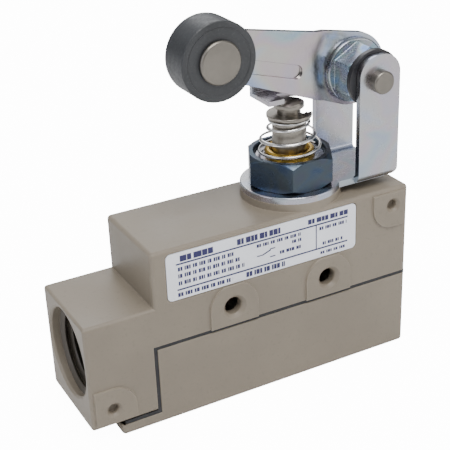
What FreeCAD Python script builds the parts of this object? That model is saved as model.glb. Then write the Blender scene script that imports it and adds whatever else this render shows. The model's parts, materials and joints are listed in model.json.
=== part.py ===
"""Heavy-duty limit switch with a swivelling roller lever head.

Frame: the origin is the middle of the two mounting holes, in the back face.
+X runs from the conduit entry to the lever pivot, +Y points out of the back
face and +Z points from the wiring cover up to the lever.  Millimetres.
"""
import FreeCAD, Part
import math
import os
from FreeCAD import Vector

# --- die-cast enclosure -----------------------------------------------------
BODY_DEPTH = 24.0            # front face to back face
BODY_LENGTH = 84.8           # conduit face to far end
END_FROM_HOLES = 35.5        # hole-pair centre to far end
CHAMBER_LENGTH = 68.0        # length of the tall switch chamber
TOP_FROM_HOLES = 18.7        # hole centres to the chamber's top face
CONDUIT_HEIGHT = 26.5        # height of the conduit block
CONDUIT_BELOW_HOLES = 21.2   # hole centres down to the conduit block's underside
PARTING_BELOW_HOLES = 4.4    # hole centres down to the chamber's lower edge
WALL = 2.2
EDGE_RADIUS = 1.0
BOSS_HEIGHT = 1.9            # round seat for the head, above the top face
BOSS_INSET = 0.1             # boss side inside the front and back faces
PAD_RAISE = 0.5              # raised pads on the front face

# --- mounting ---------------------------------------------------------------
HOLE_PITCH = 25.4
HOLE_BORE = 4.2
HOLE_MOUTH = 6.0             # countersink at the face
ARCH_PAD_WIDTH = 12.4
SLEEVE_WALL = 0.9
LOCATING_BORE = 2.4          # blind locating holes in the corner pads
LOCATING_DEPTH = 2.0
LOCATING_MOUTH = 3.9
LOCATING_INSET_RIGHT = 4.6   # from the far end
LOCATING_INSET_LEFT = 5.4    # from the conduit face
LOCATING_INSET_Z = 4.4       # from the top face, and from the underside
CORNER_PAD_RADIUS = 5.6

# --- conduit entry ----------------------------------------------------------
CONDUIT_BORE = 20.9
CONDUIT_THREAD_LENGTH = 12.8
CONDUIT_AXIS_UP = 14.7       # above the conduit block's underside
CONDUIT_THROAT = 16.0
CONDUIT_MOUTH = 22.0         # bevel at the entry
CONDUIT_FACE_EDGE = 0.7      # rounding around the entry's face

# --- cover and gasket -------------------------------------------------------
GASKET = 0.9
GASKET_INSET = 0.25          # gasket edge inside the enclosure's faces
COVER_DROP = 3.7             # cover underside below the conduit block's underside
FOOT_LENGTH = 9.0            # cover foot under the conduit block
STEP_FROM_CHAMBER = 0.7      # gasket face ahead of the chamber's left wall
COVER_SCREW_BORE = 4.3
COVER_SCREW_SHANK = 4.0
COVER_SCREW_HEAD = 7.0
COVER_SCREW_HEAD_HEIGHT = 1.2
COVER_SCREW_SINK = 1.4       # counterbore depth
COVER_SCREW_HEAD_CLEAR = 0.2
COVER_SCREW_SLOT = 1.0       # slot width
COVER_SCREW_SLOT_DEPTH = 0.7
COVER_BOSS = 6.6
COVER_SCREW_INSET = 6.0      # screw axis from the far end
COVER_SCREW_SPREAD = 13.6    # between the two far screws
FOOT_SCREW_INSET = 4.4       # screw axis from the foot's free end
FOOT_THREAD = 3.4
COVER_THREAD = 7.0
THREAD_END_GAP = 0.4         # screw end short of its hole's end
BOSS_FLOOR = 1.5             # metal beyond a blind screw hole

# --- earth terminal ---------------------------------------------------------
GROUND_BOSS = 5.4
GROUND_SHANK = 3.0
GROUND_HEAD = 5.0
GROUND_HEAD_HEIGHT = 1.8
GROUND_SLOT = 0.8
GROUND_SEAT = 9.0            # boss face above the hole centres
GROUND_THREAD = 5.0

# --- nameplate --------------------------------------------------------------
PLATE_LENGTH = 49.4
PLATE_HEIGHT = 11.6
PLATE_FROM_LEFT = 3.6        # from the chamber's left wall
PLATE_FROM_TOP = 1.2
PLATE_THICK = 0.3
PLATE_RECESS = 0.4
PLATE_CLEAR = 0.2
PLATE_CORNER = 1.2

# --- plunger head -----------------------------------------------------------
PLUNGER_X = 9.8              # plunger axis from the hole-pair centre
PLUNGER_OD = 8.0
RUN_CLEAR = 0.05             # radial running clearance
BUSH_WALL = 1.8
THREAD_WALL = 2.15           # threaded sleeve outside the bushing
THREAD_CLEAR = 0.05
SLEEVE_TOP = 9.7             # threaded sleeve above the chamber top
SLEEVE_FLANGE_CLEAR = 0.2    # flange inside the chamber's walls
SLEEVE_FLANGE_THICK = 2.5
SLEEVE_BELOW = 1.0           # sleeve below its flange
SLEEVE_LOWER_CLEAR = 0.4     # stop ring inside the sleeve's lower bore
BUSH_PROUD = 1.6             # brass above the sleeve's top
BUSH_LENGTH = 13.0
NUT_WALL = 1.5               # nut flat outside the thread
NUT_HEIGHT = 7.4
NUT_MOUTH_WIDER = 0.5        # mouth's radius outside the thread
NUT_MOUTH_DEPTH = 0.9
NUT_CROWN = 1.3              # corner taken off by the bevel
NUT_CROWN_RATIO = 0.75       # bevel height over the corner's overhang
NUT_TURN = 3.0               # degrees
PLUNGER_SHOULDER = 37.3      # top of the full-diameter part
NECK_OD = 5.4
HEAD_OD = 7.0
HEAD_RIM = 1.1
HEAD_APEX = 41.8
HEAD_DOME = 8.0              # dome radius
HEAD_RIM_TOP = 41.0
PLUNGER_BORE = 5.2
PLUNGER_BOTTOM = 15.4
PLUNGER_BORE_TOP = 27.0
RETAINER_RIM = 1.3           # retainer outside the plunger
RETAINER_THICK = 0.8
RETAINER_LIFT = 0.4          # retainer underside above the shoulder
STOP_RING_RIM = 1.1          # stop ring outside the plunger
STOP_RING_THICK = 0.9
SEAL_WIRE = 1.5
SEAL_UP = 6.0                # seal groove above the bushing's lower end
SPRING_WIRE = 0.7
SPRING_INSIDE_THREAD = 0.2   # spring inside the sleeve's outside, below
SPRING_INSIDE_RETAINER = 0.1  # spring inside the retainer's rim, above
SPRING_TURNS = 3.6
SPRING_GAP = 0.05
WIRE_SIDES = 12              # flats around a spring's wire
INNER_SPRING_WIRE = 0.5
INNER_SPRING_OD = 4.6
INNER_SPRING_TURNS = 7.0
ROD_HEAD_OD = 4.6
ROD_HEAD = 1.4
ROD_OD = 3.0
ROD_HEAD_TOP = 17.6

# --- swivel bracket ---------------------------------------------------------
SHEET = 1.5
BASE_DISC_OD = 23.7
NECK_WIDTH = 16.7
YOKE_WIDTH = 20.0
EAR_WIDTH = 11.0
EAR_FROM_PLUNGER = 12.7      # ear's near edge from the plunger axis
EAR_TOP = 30.8               # above the bracket's underside
EAR_TOP_RADIUS = 4.9
EAR_FOOT_RADIUS = 2.4
BEND_INNER = 0.9
PIVOT_FROM_PLUNGER = 17.8
PIVOT_UP = 24.8              # above the bracket's underside
PIN_OD = 5.4
PIN_FRONT = 2.4              # proud of the front ear
PIN_BACK = 1.5
PIN_CHAMFER = 0.35
CLIP_OD = 8.6
CLIP_THICK = 0.7
CLIP_GAP = 0.1
FACE_GAP = 0.15              # running gap between faces along the pivot

# --- lever ------------------------------------------------------------------
WASHER_OD = 13.6
WASHER_THICK = 1.4
HUB_OD = 8.0
HUB_COLLAR_OD = 12.0
HUB_TAIL_OD = 10.0
HUB_NUT_AF = 12.0
HUB_NUT_LENGTH = 5.8
HUB_NUT_BEVEL = 0.7
HUB_NUT_CROWN = 1.1          # corner taken off by the bevel
HUB_NUT_TURN = 30.0          # degrees; a flat faces the roller
HUB_NUT_GAP = 0.1            # behind the spacer washer
HUB_FLANGE_EDGE = 0.5
HUB_FLANGE_OD = 15.4
HUB_FLANGE_THICK = 1.3
ARM_SHEET = 1.8
ARM_JOGGLE = 1.6
ARM_JOGGLE_START = 7.9       # from the pivot towards the roller
ARM_JOGGLE_RUN = 3.2
ARM_LENGTH = 42.0
ARM_ANGLE = 16.2             # above level
ARM_HUB_RADIUS = 8.7
ARM_END_RADIUS = 5.0
RIB_WIDTH = 4.2
RIB_DEPTH = 0.8
RIB_START = 14.5             # from the pivot, along the arm
RIB_OFFSET = 2.0             # below the arm's centre line
RIB_END_LEFT = 7.5           # short of the roller axis
PRESS_SHEET = 1.2
PRESS_PLATE_FROM_ARM = 2.6   # gap between the arm and the pressing plate
PRESS_HUB_RADIUS = 7.6
PRESS_TIP_REACH = 7.0        # foot beyond the plunger axis
FOOT_CLEAR = 0.15            # foot above the plunger's apex
FOOT_BACK_REACH = 2.0        # foot past the plunger axis, pivot side
FOOT_BACK_EDGE = 0.8         # wide part of the foot behind the plunger axis
FOOT_FRONT_EDGE = 3.0        # narrow part of the foot ahead of the plunger axis
FOOT_FRONT_WIDTH = 4.1
PRESS_PLATE_RISE = 3.6       # depth of the pressing plate at its tip

# --- roller -----------------------------------------------------------------
ROLLER_OD = 17.5
ROLLER_WIDTH = 8.2
ROLLER_CHAMFER = 0.3
ROLLER_SHAFT = 6.0
ROLLER_SIDE_GAP = 0.35
RIVET_HEAD_OD = 9.6
RIVET_HEAD = 0.9
RIVET_TAIL_OD = 7.6
RIVET_TAIL = 1.0
RIVET_STEM_OD = 5.0

# --- built-in snap-action switch --------------------------------------------
CASE_LENGTH = 49.2
CASE_DEPTH = 17.45
CASE_BELOW_HOLES = 13.2
CASE_SPLIT = 6.0             # joint between base and lid, above the holes
CASE_TOP = 9.6
CASE_HOLE_CLEAR = 0.15
CASE_WALL = 2.0
CAVITY_FLOOR = 3.7
CAVITY_TOP = 8.3
CAVITY_SIDE = 1.5            # room beside the blade
CAVITY_END = 0.5             # wall at the contact end
OPEN_CONTACT_PROUD = 0.2     # fixed contact above the cavity floor
PIN_D = 4.0
PIN_TOP = 10.7
BLADE_Z = 5.6
BLADE_THICK = 0.3
BLADE_WIDTH = 5.0
CONTACT_R = 1.3
CONTACT_THICK = 0.7
CONTACT_GAP = 0.05
TERMINAL_THICK = 1.0
TERMINAL_WIDTH = 7.0
TERMINAL_SCREW_HEAD = 6.0
TERMINAL_SCREW_HEAD_HEIGHT = 2.3
TERMINAL_SCREW_SHANK = 3.4
TERMINAL_SCREW_LENGTH = 4.5
BLADE_ANCHOR_X = -16.8
OPEN_CONTACT_X = 17.5
OPEN_SCREW_X = 6.0
CLOSED_POST_X = 23.5
CLOSED_SCREW_X = 20.8
COMMON_SCREW_X = -20.7
SLOT_CLEAR = 0.05

# --- small fits, grooves and slots ------------------------------------------
POST_HALF = 2.0              # half the width of a terminal's post
TERMINAL_HOLE_CLEAR = 0.2
TERMINAL_END_GAP = 0.4
TERMINAL_GAP = 0.6           # between two neighbouring terminals
TERMINAL_REACH = 4.0
TERMINAL_SCREW_SHORT = 0.3
DRIVE_SLOT = 1.0             # width and depth of a screw's slot
BLADE_GAP = 0.1
BLADE_TAIL = 2.0
WINDOW_INSET = 4.5           # slot in the blade, from its ends
WINDOW_WIDTH = 2.4
BUTTON_SINK = 0.1            # contact button set into its terminal
PIN_TIP = 1.2
PIN_TIP_D = 2.0
SEAL_DEPTH = 0.8             # groove depth and half height, in seal thicknesses
SEAL_HALF = 0.6
BUSH_MOUTH = 0.8
BUSH_RIM = 0.4
DOME_SINK = 0.2
STOP_GAP = 0.05
RING_GROOVE = 0.6
RING_SLOT = 2.8
RETAINER_GRIP = 0.4
DISC_EDGE = 0.35
SWIVEL_CLEAR = 0.1
CLIP_GROOVE = 0.5
CLIP_SLOT = 2.6
RIB_SINK = 0.1
RIB_BACK_SHARE = 0.6         # rib stands this share of its depth behind the sheet
RIB_SIDE = 0.5
PRESS_CLEAR = 0.02
ROLLER_GAP = 0.1
RIVET_EDGE = 0.4
ALONG = 0.9                  # an edge runs along an axis above this
OVERLAP = 0.01               # between two pieces that are fused
NEAR = 0.1                   # slack when an edge is picked by its place

# --- places worked out from the sizes above ---------------------------------
BACK = 0.0
FRONT = BACK - BODY_DEPTH
MID_Y = (FRONT + BACK) / 2
RIGHT = END_FROM_HOLES
LEFT = RIGHT - BODY_LENGTH
CHAMBER_LEFT = RIGHT - CHAMBER_LENGTH
TOP = TOP_FROM_HOLES
CONDUIT_BOTTOM = -CONDUIT_BELOW_HOLES
CONDUIT_TOP = CONDUIT_BOTTOM + CONDUIT_HEIGHT
PARTING = -PARTING_BELOW_HOLES
COVER_BOTTOM = CONDUIT_BOTTOM - COVER_DROP
GASKET_X = CHAMBER_LEFT - STEP_FROM_CHAMBER
FOOT_X = GASKET_X - FOOT_LENGTH
BOSS_TOP = TOP + BOSS_HEIGHT
BUSH_OD = PLUNGER_OD + 2 * (RUN_CLEAR + BUSH_WALL)
THREAD_OD = BUSH_OD + 2 * THREAD_WALL
SLEEVE_FLANGE = BODY_DEPTH - 2 * (WALL + SLEEVE_FLANGE_CLEAR)
NUT_AF = THREAD_OD + 2 * NUT_WALL
NUT_MOUTH = THREAD_OD + 2 * NUT_MOUTH_WIDER
RETAINER_OD = PLUNGER_OD + 2 * RETAINER_RIM
STOP_RING_OD = PLUNGER_OD + 2 * STOP_RING_RIM
SLEEVE_LOWER_BORE = STOP_RING_OD + 2 * SLEEVE_LOWER_CLEAR
SPRING_BOTTOM_OD = THREAD_OD - 2 * SPRING_INSIDE_THREAD
SPRING_TOP_OD = RETAINER_OD - 2 * SPRING_INSIDE_RETAINER
GROUND_X = CHAMBER_LEFT + WALL + GROUND_BOSS / 2
CASE_LEFT, CASE_RIGHT = -CASE_LENGTH / 2, CASE_LENGTH / 2
CASE_FRONT, CASE_BACK = MID_Y - CASE_DEPTH / 2, MID_Y + CASE_DEPTH / 2
CASE_BOTTOM = -CASE_BELOW_HOLES
CLOSED_ARM_Z = BLADE_Z + BLADE_THICK / 2 + 2 * CONTACT_THICK + CONTACT_GAP
OPEN_TOP = CAVITY_FLOOR + OPEN_CONTACT_PROUD
AXIS_Z = CONDUIT_BOTTOM + CONDUIT_AXIS_UP
YOKE_FRONT = MID_Y - YOKE_WIDTH / 2
YOKE_BACK = MID_Y + YOKE_WIDTH / 2
PIVOT_X = PLUNGER_X + PIVOT_FROM_PLUNGER
PIVOT_Z = BOSS_TOP + PIVOT_UP
SLEEVE_END = TOP + SLEEVE_TOP
BUSH_TOP = SLEEVE_END + BUSH_PROUD
BUSH_BOTTOM = BUSH_TOP - BUSH_LENGTH
NUT_BOTTOM = BOSS_TOP + SHEET
WASHER_Y = YOKE_FRONT + SHEET + FACE_GAP
HUB_FRONT = WASHER_Y + WASHER_THICK + HUB_NUT_GAP
FLANGE_Y = HUB_FRONT + HUB_NUT_LENGTH
ARM_Y = FLANGE_Y + HUB_FLANGE_THICK
ARM_OUT_Y = ARM_Y - ARM_JOGGLE
PRESS_Y = ARM_Y + ARM_SHEET + PRESS_PLATE_FROM_ARM
HUB_END = YOKE_BACK - SHEET - FACE_GAP
FOOT_Z = HEAD_APEX + FOOT_CLEAR
ROLLER_BACK = ARM_OUT_Y - ROLLER_SIDE_GAP
ROLLER_FRONT = ROLLER_BACK - ROLLER_WIDTH
ARM_RAD = math.radians(ARM_ANGLE)
ROLLER_X = PIVOT_X - ARM_LENGTH * math.cos(ARM_RAD)
ROLLER_Z = PIVOT_Z + ARM_LENGTH * math.sin(ARM_RAD)
HOLE_XS = (-HOLE_PITCH / 2, HOLE_PITCH / 2)
EPS = 1.0                    # overshoot of cutting tools

X_AXIS, Y_AXIS, Z_AXIS = Vector(1, 0, 0), Vector(0, 1, 0), Vector(0, 0, 1)


# --- helpers ----------------------------------------------------------------
def box(x0, x1, y0, y1, z0, z1):
    return Part.makeBox(x1 - x0, y1 - y0, z1 - z0, Vector(x0, y0, z0))


def cyl_z(radius, x, y, z0, z1):
    return Part.makeCylinder(radius, z1 - z0, Vector(x, y, z0), Z_AXIS)


def cyl_y(radius, x, z, y0, y1):
    return Part.makeCylinder(radius, y1 - y0, Vector(x, y0, z), Y_AXIS)


def cyl_x(radius, y, z, x0, x1):
    return Part.makeCylinder(radius, x1 - x0, Vector(x0, y, z), X_AXIS)


def cone_y(r0, r1, x, z, y0, y1):
    return Part.makeCone(r0, r1, y1 - y0, Vector(x, y0, z), Y_AXIS)


def cone_z(r0, r1, x, y, z0, z1):
    return Part.makeCone(r0, r1, z1 - z0, Vector(x, y, z0), Z_AXIS)


def prism_y(points, y0, y1):
    """Solid with an XZ outline, from y0 to y1."""
    outline = [Vector(x, y0, z) for x, z in points]
    face = Part.Face(Part.makePolygon(outline + outline[:1]))
    return face.extrude(Vector(0, y1 - y0, 0))


def hexagon_corners(across_flats, turn):
    """The six corners, around the origin, with one at turn degrees from the first axis."""
    corner = across_flats / 2 / math.cos(math.pi / 6)
    angles = [math.radians(turn + 60 * k) for k in range(6)]
    return [(corner * math.cos(a), corner * math.sin(a)) for a in angles]


def hexagon_z(across_flats, x, y, z0, z1, turn):
    ring = [Vector(x + u, y + v, z0) for u, v in hexagon_corners(across_flats, turn)]
    return Part.Face(Part.makePolygon(ring + ring[:1])).extrude(Vector(0, 0, z1 - z0))


def hexagon_y(across_flats, x, z, y0, y1, turn):
    return prism_y([(x + u, z + v) for u, v in hexagon_corners(across_flats, turn)], y0, y1)


def fillet_edges(shape, radius, keep):
    chosen = [edge for edge in shape.Edges if keep(edge.CenterOfMass)]
    return shape.makeFillet(radius, chosen)


def fuse(parts):
    return parts[0].multiFuse(parts[1:]).removeSplitter()


def chamfer_end_y(radius, x, z, y_end, size, outward):
    """Ring that bevels the end of a round bar lying along Y."""
    y0, y1 = sorted((y_end, y_end - outward * size))
    blank = cyl_y(radius + EPS, x, z, y0, y1)
    r0, r1 = (radius, radius - size) if outward > 0 else (radius - size, radius)
    return blank.cut(cone_y(r0, r1, x, z, y0, y1))


def coil(x, y, z0, z1, r0, r1, wire, turns):
    """Round-wire coil spring around Z; r0 and r1 are the mean radii of its ends."""
    height = z1 - z0 - wire
    small, large = min(r0, r1), max(r0, r1)
    spread = math.degrees(math.atan2(large - small, height))
    helix = Part.makeHelix(height / turns, height, small, spread)
    angles = [2 * math.pi * k / WIRE_SIDES for k in range(WIRE_SIDES)]
    ring = [Vector(small + wire / 2 * math.cos(a), 0, wire / 2 * math.sin(a)) for a in angles]
    section = Part.makePolygon(ring + ring[:1])
    spring = Part.Wire(helix.Edges).makePipeShell([section], True, True)
    if r0 > r1:
        spring.rotate(Vector(0, 0, height / 2), X_AXIS, 180)
    spring.translate(Vector(x, y, z0 + wire / 2))
    return spring


# --- enclosure --------------------------------------------------------------
def cover_screw_places():
    """(x, y, thread end z) of the three screws that hold the cover."""
    far = RIGHT - COVER_SCREW_INSET
    half = COVER_SCREW_SPREAD / 2
    return [(FOOT_X + FOOT_SCREW_INSET, MID_Y, CONDUIT_BOTTOM + FOOT_THREAD),
            (far, MID_Y - half, PARTING + COVER_THREAD),
            (far, MID_Y + half, PARTING + COVER_THREAD)]


def screw_lug(x, y, z0, z1):
    """Boss around a cover screw, joined to the far end wall."""
    half = COVER_BOSS / 2
    return fuse([cyl_z(half, x, y, z0, z1),
                 box(x, RIGHT - WALL / 2, y - half, y + half, z0, z1)])


def arch_pad(x, y0, y1, bottom):
    half = ARCH_PAD_WIDTH / 2
    pad = fuse([cyl_y(half, x, 0, y0, y1), box(x - half, x + half, y0, y1, bottom, 0)])
    return pad.common(box(x - half, x + half, y0, y1, bottom, half))


def corner_pad(x_edge, z_edge, inset_x, y0, y1):
    """Pad that fills one corner of the face around its locating hole."""
    side_x = 1 if x_edge > 0 else -1
    side_z = 1 if z_edge > 0 else -1
    hole_x = x_edge - side_x * inset_x
    hole_z = z_edge - side_z * LOCATING_INSET_Z
    reach = CORNER_PAD_RADIUS
    xs = sorted((hole_x - side_x * OVERLAP, x_edge - side_x * EDGE_RADIUS))
    zs = sorted((hole_z - side_z * OVERLAP, z_edge - side_z * EDGE_RADIUS))
    near_x = sorted((hole_x - side_x * reach, x_edge - side_x * EDGE_RADIUS))
    near_z = sorted((hole_z - side_z * reach, z_edge - side_z * EDGE_RADIUS))
    pad = fuse([cyl_y(reach, hole_x, hole_z, y0, y1),
                box(near_x[0], near_x[1], y0, y1, zs[0], zs[1]),
                box(xs[0], xs[1], y0, y1, near_z[0], near_z[1])])
    return pad.common(box(near_x[0], near_x[1], y0, y1, near_z[0], near_z[1]))


def locating_hole(x_edge, z_edge, inset_x):
    side_x = 1 if x_edge > 0 else -1
    side_z = 1 if z_edge > 0 else -1
    x = x_edge - side_x * inset_x
    z = z_edge - side_z * LOCATING_INSET_Z
    face = FRONT - PAD_RAISE
    mouth = (LOCATING_MOUTH - LOCATING_BORE) / 2
    return fuse([cyl_y(LOCATING_BORE / 2, x, z, face, face + LOCATING_DEPTH),
                 cone_y(LOCATING_MOUTH / 2, LOCATING_BORE / 2, x, z, face, face + mouth)])


def mounting_bore(x):
    mouth = (HOLE_MOUTH - HOLE_BORE) / 2
    face = FRONT - PAD_RAISE
    return fuse([cyl_y(HOLE_BORE / 2, x, 0, face - EPS, BACK + EPS),
                 cone_y(HOLE_MOUTH / 2, HOLE_BORE / 2, x, 0, face, face + mouth)])


def nameplate_box(grow, y0, y1):
    x0 = CHAMBER_LEFT + PLATE_FROM_LEFT - grow
    z1 = TOP - PLATE_FROM_TOP + grow
    blank = box(x0, x0 + PLATE_LENGTH + 2 * grow, y0, y1,
                z1 - PLATE_HEIGHT - 2 * grow, z1)
    upright = [e for e in blank.Edges if abs(e.tangentAt(e.FirstParameter).y) > ALONG]
    return blank.makeFillet(PLATE_CORNER + grow, upright)


def housing():
    chamber = fillet_edges(box(CHAMBER_LEFT, RIGHT, FRONT, BACK, PARTING, TOP), EDGE_RADIUS,
                           lambda c: c.z > PARTING + NEAR)
    block = box(LEFT, GASKET_X, FRONT, BACK, CONDUIT_BOTTOM, CONDUIT_TOP)
    block = fillet_edges(block, EDGE_RADIUS, lambda c: LEFT + NEAR < c.x < GASKET_X - NEAR)
    block = fillet_edges(block, CONDUIT_FACE_EDGE, lambda c: c.x < LEFT + NEAR)
    bridge = box(GASKET_X - EDGE_RADIUS, CHAMBER_LEFT + 2 * EDGE_RADIUS, FRONT, BACK,
                 PARTING, CONDUIT_TOP)
    bridge = bridge.makeFillet(EDGE_RADIUS, [e for e in bridge.Edges
                                             if e.CenterOfMass.z > CONDUIT_TOP - NEAR
                                             and abs(e.tangentAt(e.FirstParameter).x) > ALONG])
    boss = cyl_z(BODY_DEPTH / 2 - BOSS_INSET, PLUNGER_X, MID_Y, TOP - WALL, BOSS_TOP)
    pads = [arch_pad(x, FRONT - PAD_RAISE, FRONT + WALL / 2, PARTING) for x in HOLE_XS]
    pads.append(corner_pad(RIGHT, TOP, LOCATING_INSET_RIGHT, FRONT - PAD_RAISE, FRONT + WALL / 2))
    pads.append(corner_pad(LEFT, CONDUIT_BOTTOM, LOCATING_INSET_LEFT, FRONT - PAD_RAISE,
                           FRONT + WALL / 2))
    shell = fuse([chamber, block, bridge, boss] + pads)

    cavity = box(CHAMBER_LEFT + WALL, RIGHT - WALL, FRONT + WALL, BACK - WALL,
                 PARTING - EPS, TOP - WALL)
    thread = cyl_x(CONDUIT_BORE / 2, MID_Y, AXIS_Z, LEFT - EPS, LEFT + CONDUIT_THREAD_LENGTH)
    bevel = (CONDUIT_MOUTH - CONDUIT_BORE) / 2
    mouth = Part.makeCone(CONDUIT_MOUTH / 2, CONDUIT_BORE / 2, bevel,
                          Vector(LEFT, MID_Y, AXIS_Z), X_AXIS)
    throat = cyl_x(CONDUIT_THROAT / 2, MID_Y, AXIS_Z, LEFT, CHAMBER_LEFT + WALL + EPS)
    sleeve_hole = cyl_z(THREAD_OD / 2, PLUNGER_X, MID_Y, TOP - WALL - EPS, BOSS_TOP + EPS)
    recess = nameplate_box(PLATE_CLEAR, FRONT - EPS, FRONT + PLATE_RECESS)
    shell = shell.cut([cavity, thread, mouth, throat, sleeve_hole, recess])

    bosses = []
    for x, y, end in cover_screw_places()[1:]:
        bosses.append(screw_lug(x, y, PARTING, end + BOSS_FLOOR))
    bosses.append(cyl_z(GROUND_BOSS / 2, GROUND_X, MID_Y, GROUND_SEAT, TOP - WALL / 2))
    shell = fuse([shell] + bosses)

    tools = [mounting_bore(x) for x in HOLE_XS]
    tools += [cyl_z(COVER_SCREW_SHANK / 2, x, y, COVER_BOTTOM, end)
              for x, y, end in cover_screw_places()]
    tools.append(cyl_z(GROUND_SHANK / 2, GROUND_X, MID_Y, GROUND_SEAT - EPS,
                       GROUND_SEAT + GROUND_THREAD))
    tools.append(locating_hole(RIGHT, TOP, LOCATING_INSET_RIGHT))
    tools.append(locating_hole(LEFT, CONDUIT_BOTTOM, LOCATING_INSET_LEFT))
    return shell.cut(tools)


def cover_blank():
    """Outer shape of the wiring cover: a tub with a thin foot under the conduit block."""
    wall_x = GASKET_X + GASKET
    foot_top = CONDUIT_BOTTOM - GASKET
    rim = PARTING - GASKET
    tub = prism_y([(FOOT_X, COVER_BOTTOM), (RIGHT, COVER_BOTTOM), (RIGHT, rim), (wall_x, rim),
                   (wall_x, foot_top), (FOOT_X, foot_top)], FRONT, BACK)
    lower = [e for e in tub.Edges if e.CenterOfMass.z < COVER_BOTTOM + NEAR
             or (e.CenterOfMass.x > RIGHT - NEAR and abs(e.tangentAt(e.FirstParameter).z) > ALONG)
             or e.CenterOfMass.x < FOOT_X + NEAR and abs(e.tangentAt(e.FirstParameter).z) > ALONG]
    return tub.makeFillet(EDGE_RADIUS, lower)


def wiring_room(z0, z1, grow=0.0):
    return box(GASKET_X + GASKET + WALL - grow, RIGHT - WALL + grow,
               FRONT + WALL - grow, BACK - WALL + grow, z0, z1)


def cover():
    shell = cover_blank().cut(wiring_room(COVER_BOTTOM + WALL, PARTING + EPS))
    lugs = [screw_lug(x, y, COVER_BOTTOM + WALL / 2, PARTING - GASKET)
            for x, y, _ in cover_screw_places()[1:]]
    shell = fuse([shell] + lugs)
    tools = [cyl_x(CONDUIT_THROAT / 2, MID_Y, AXIS_Z, GASKET_X, GASKET_X + GASKET + WALL + EPS)]
    for x, y, _ in cover_screw_places():
        tools.append(cyl_z(COVER_SCREW_BORE / 2, x, y, COVER_BOTTOM - EPS, PARTING))
        tools.append(cyl_z(COVER_SCREW_HEAD / 2 + COVER_SCREW_HEAD_CLEAR, x, y,
                           COVER_BOTTOM - EPS, COVER_BOTTOM + COVER_SCREW_SINK))
    return shell.cut(tools)


def cover_gasket():
    wall_x, foot_top, rim = GASKET_X + GASKET, CONDUIT_BOTTOM - GASKET, PARTING - GASKET
    sheet = prism_y([(FOOT_X + EDGE_RADIUS, CONDUIT_BOTTOM), (GASKET_X, CONDUIT_BOTTOM),
                     (GASKET_X, PARTING), (RIGHT - GASKET_INSET, PARTING),
                     (RIGHT - GASKET_INSET, rim), (wall_x, rim), (wall_x, foot_top),
                     (FOOT_X + EDGE_RADIUS, foot_top)], FRONT + GASKET_INSET, BACK - GASKET_INSET)
    tools = [wiring_room(rim - EPS, PARTING + EPS),
             cyl_x(CONDUIT_THROAT / 2, MID_Y, AXIS_Z, GASKET_X - EPS, wall_x + EPS)]
    tools += [cyl_z(COVER_SCREW_BORE / 2, x, y, COVER_BOTTOM, end)
              for x, y, end in cover_screw_places()]
    sheet = sheet.cut(tools)
    lugs = []
    for x, y, _ in cover_screw_places()[1:]:
        bore = cyl_z(COVER_SCREW_BORE / 2, x, y, rim - EPS, PARTING + EPS)
        lugs.append(screw_lug(x, y, rim, PARTING).cut(bore))
    return fuse([sheet] + lugs)


def cover_screws():
    screws = []
    for x, y, end in cover_screw_places():
        seat = COVER_BOTTOM + COVER_SCREW_SINK
        face = seat - COVER_SCREW_HEAD_HEIGHT
        half = COVER_SCREW_SLOT / 2
        head = cyl_z(COVER_SCREW_HEAD / 2, x, y, face, seat)
        slot = box(x - COVER_SCREW_HEAD, x + COVER_SCREW_HEAD, y - half, y + half,
                   face - EPS, face + COVER_SCREW_SLOT_DEPTH)
        shank = cyl_z(COVER_SCREW_SHANK / 2, x, y, seat, end - THREAD_END_GAP)
        screws.append(head.cut(slot).fuse(shank).removeSplitter())
    return Part.makeCompound(screws)


def nameplate():
    back = FRONT + PLATE_RECESS
    return nameplate_box(0.0, back - PLATE_THICK, back)


def mounting_sleeves():
    tubes = []
    for x in HOLE_XS:
        tube = cyl_y(HOLE_BORE / 2 + SLEEVE_WALL, x, 0, FRONT + WALL, BACK - WALL)
        tubes.append(tube.cut(cyl_y(HOLE_BORE / 2, x, 0, FRONT, BACK)))
    return Part.makeCompound(tubes)


def ground_screw():
    face = GROUND_SEAT - GROUND_HEAD_HEIGHT
    half = GROUND_SLOT / 2
    head = cyl_z(GROUND_HEAD / 2, GROUND_X, MID_Y, face, GROUND_SEAT)
    slot = box(GROUND_X - GROUND_HEAD, GROUND_X + GROUND_HEAD, MID_Y - half, MID_Y + half,
               face - EPS, face + GROUND_SLOT)
    shank = cyl_z(GROUND_SHANK / 2, GROUND_X, MID_Y, GROUND_SEAT,
                  GROUND_SEAT + GROUND_THREAD - THREAD_END_GAP)
    return head.cut(slot).fuse(shank).removeSplitter()


# --- built-in snap-action switch --------------------------------------------
def case_room(z0, z1):
    half = BLADE_WIDTH / 2 + CAVITY_SIDE
    return box(CASE_LEFT + CASE_WALL, CASE_RIGHT - CAVITY_END, MID_Y - half, MID_Y + half,
               z0, z1)


def post_slot(x, z0, z1, grow):
    half = TERMINAL_THICK / 2 + grow
    return box(x - half, x + half, MID_Y - POST_HALF - grow, MID_Y + POST_HALF + grow, z0, z1)


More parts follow.
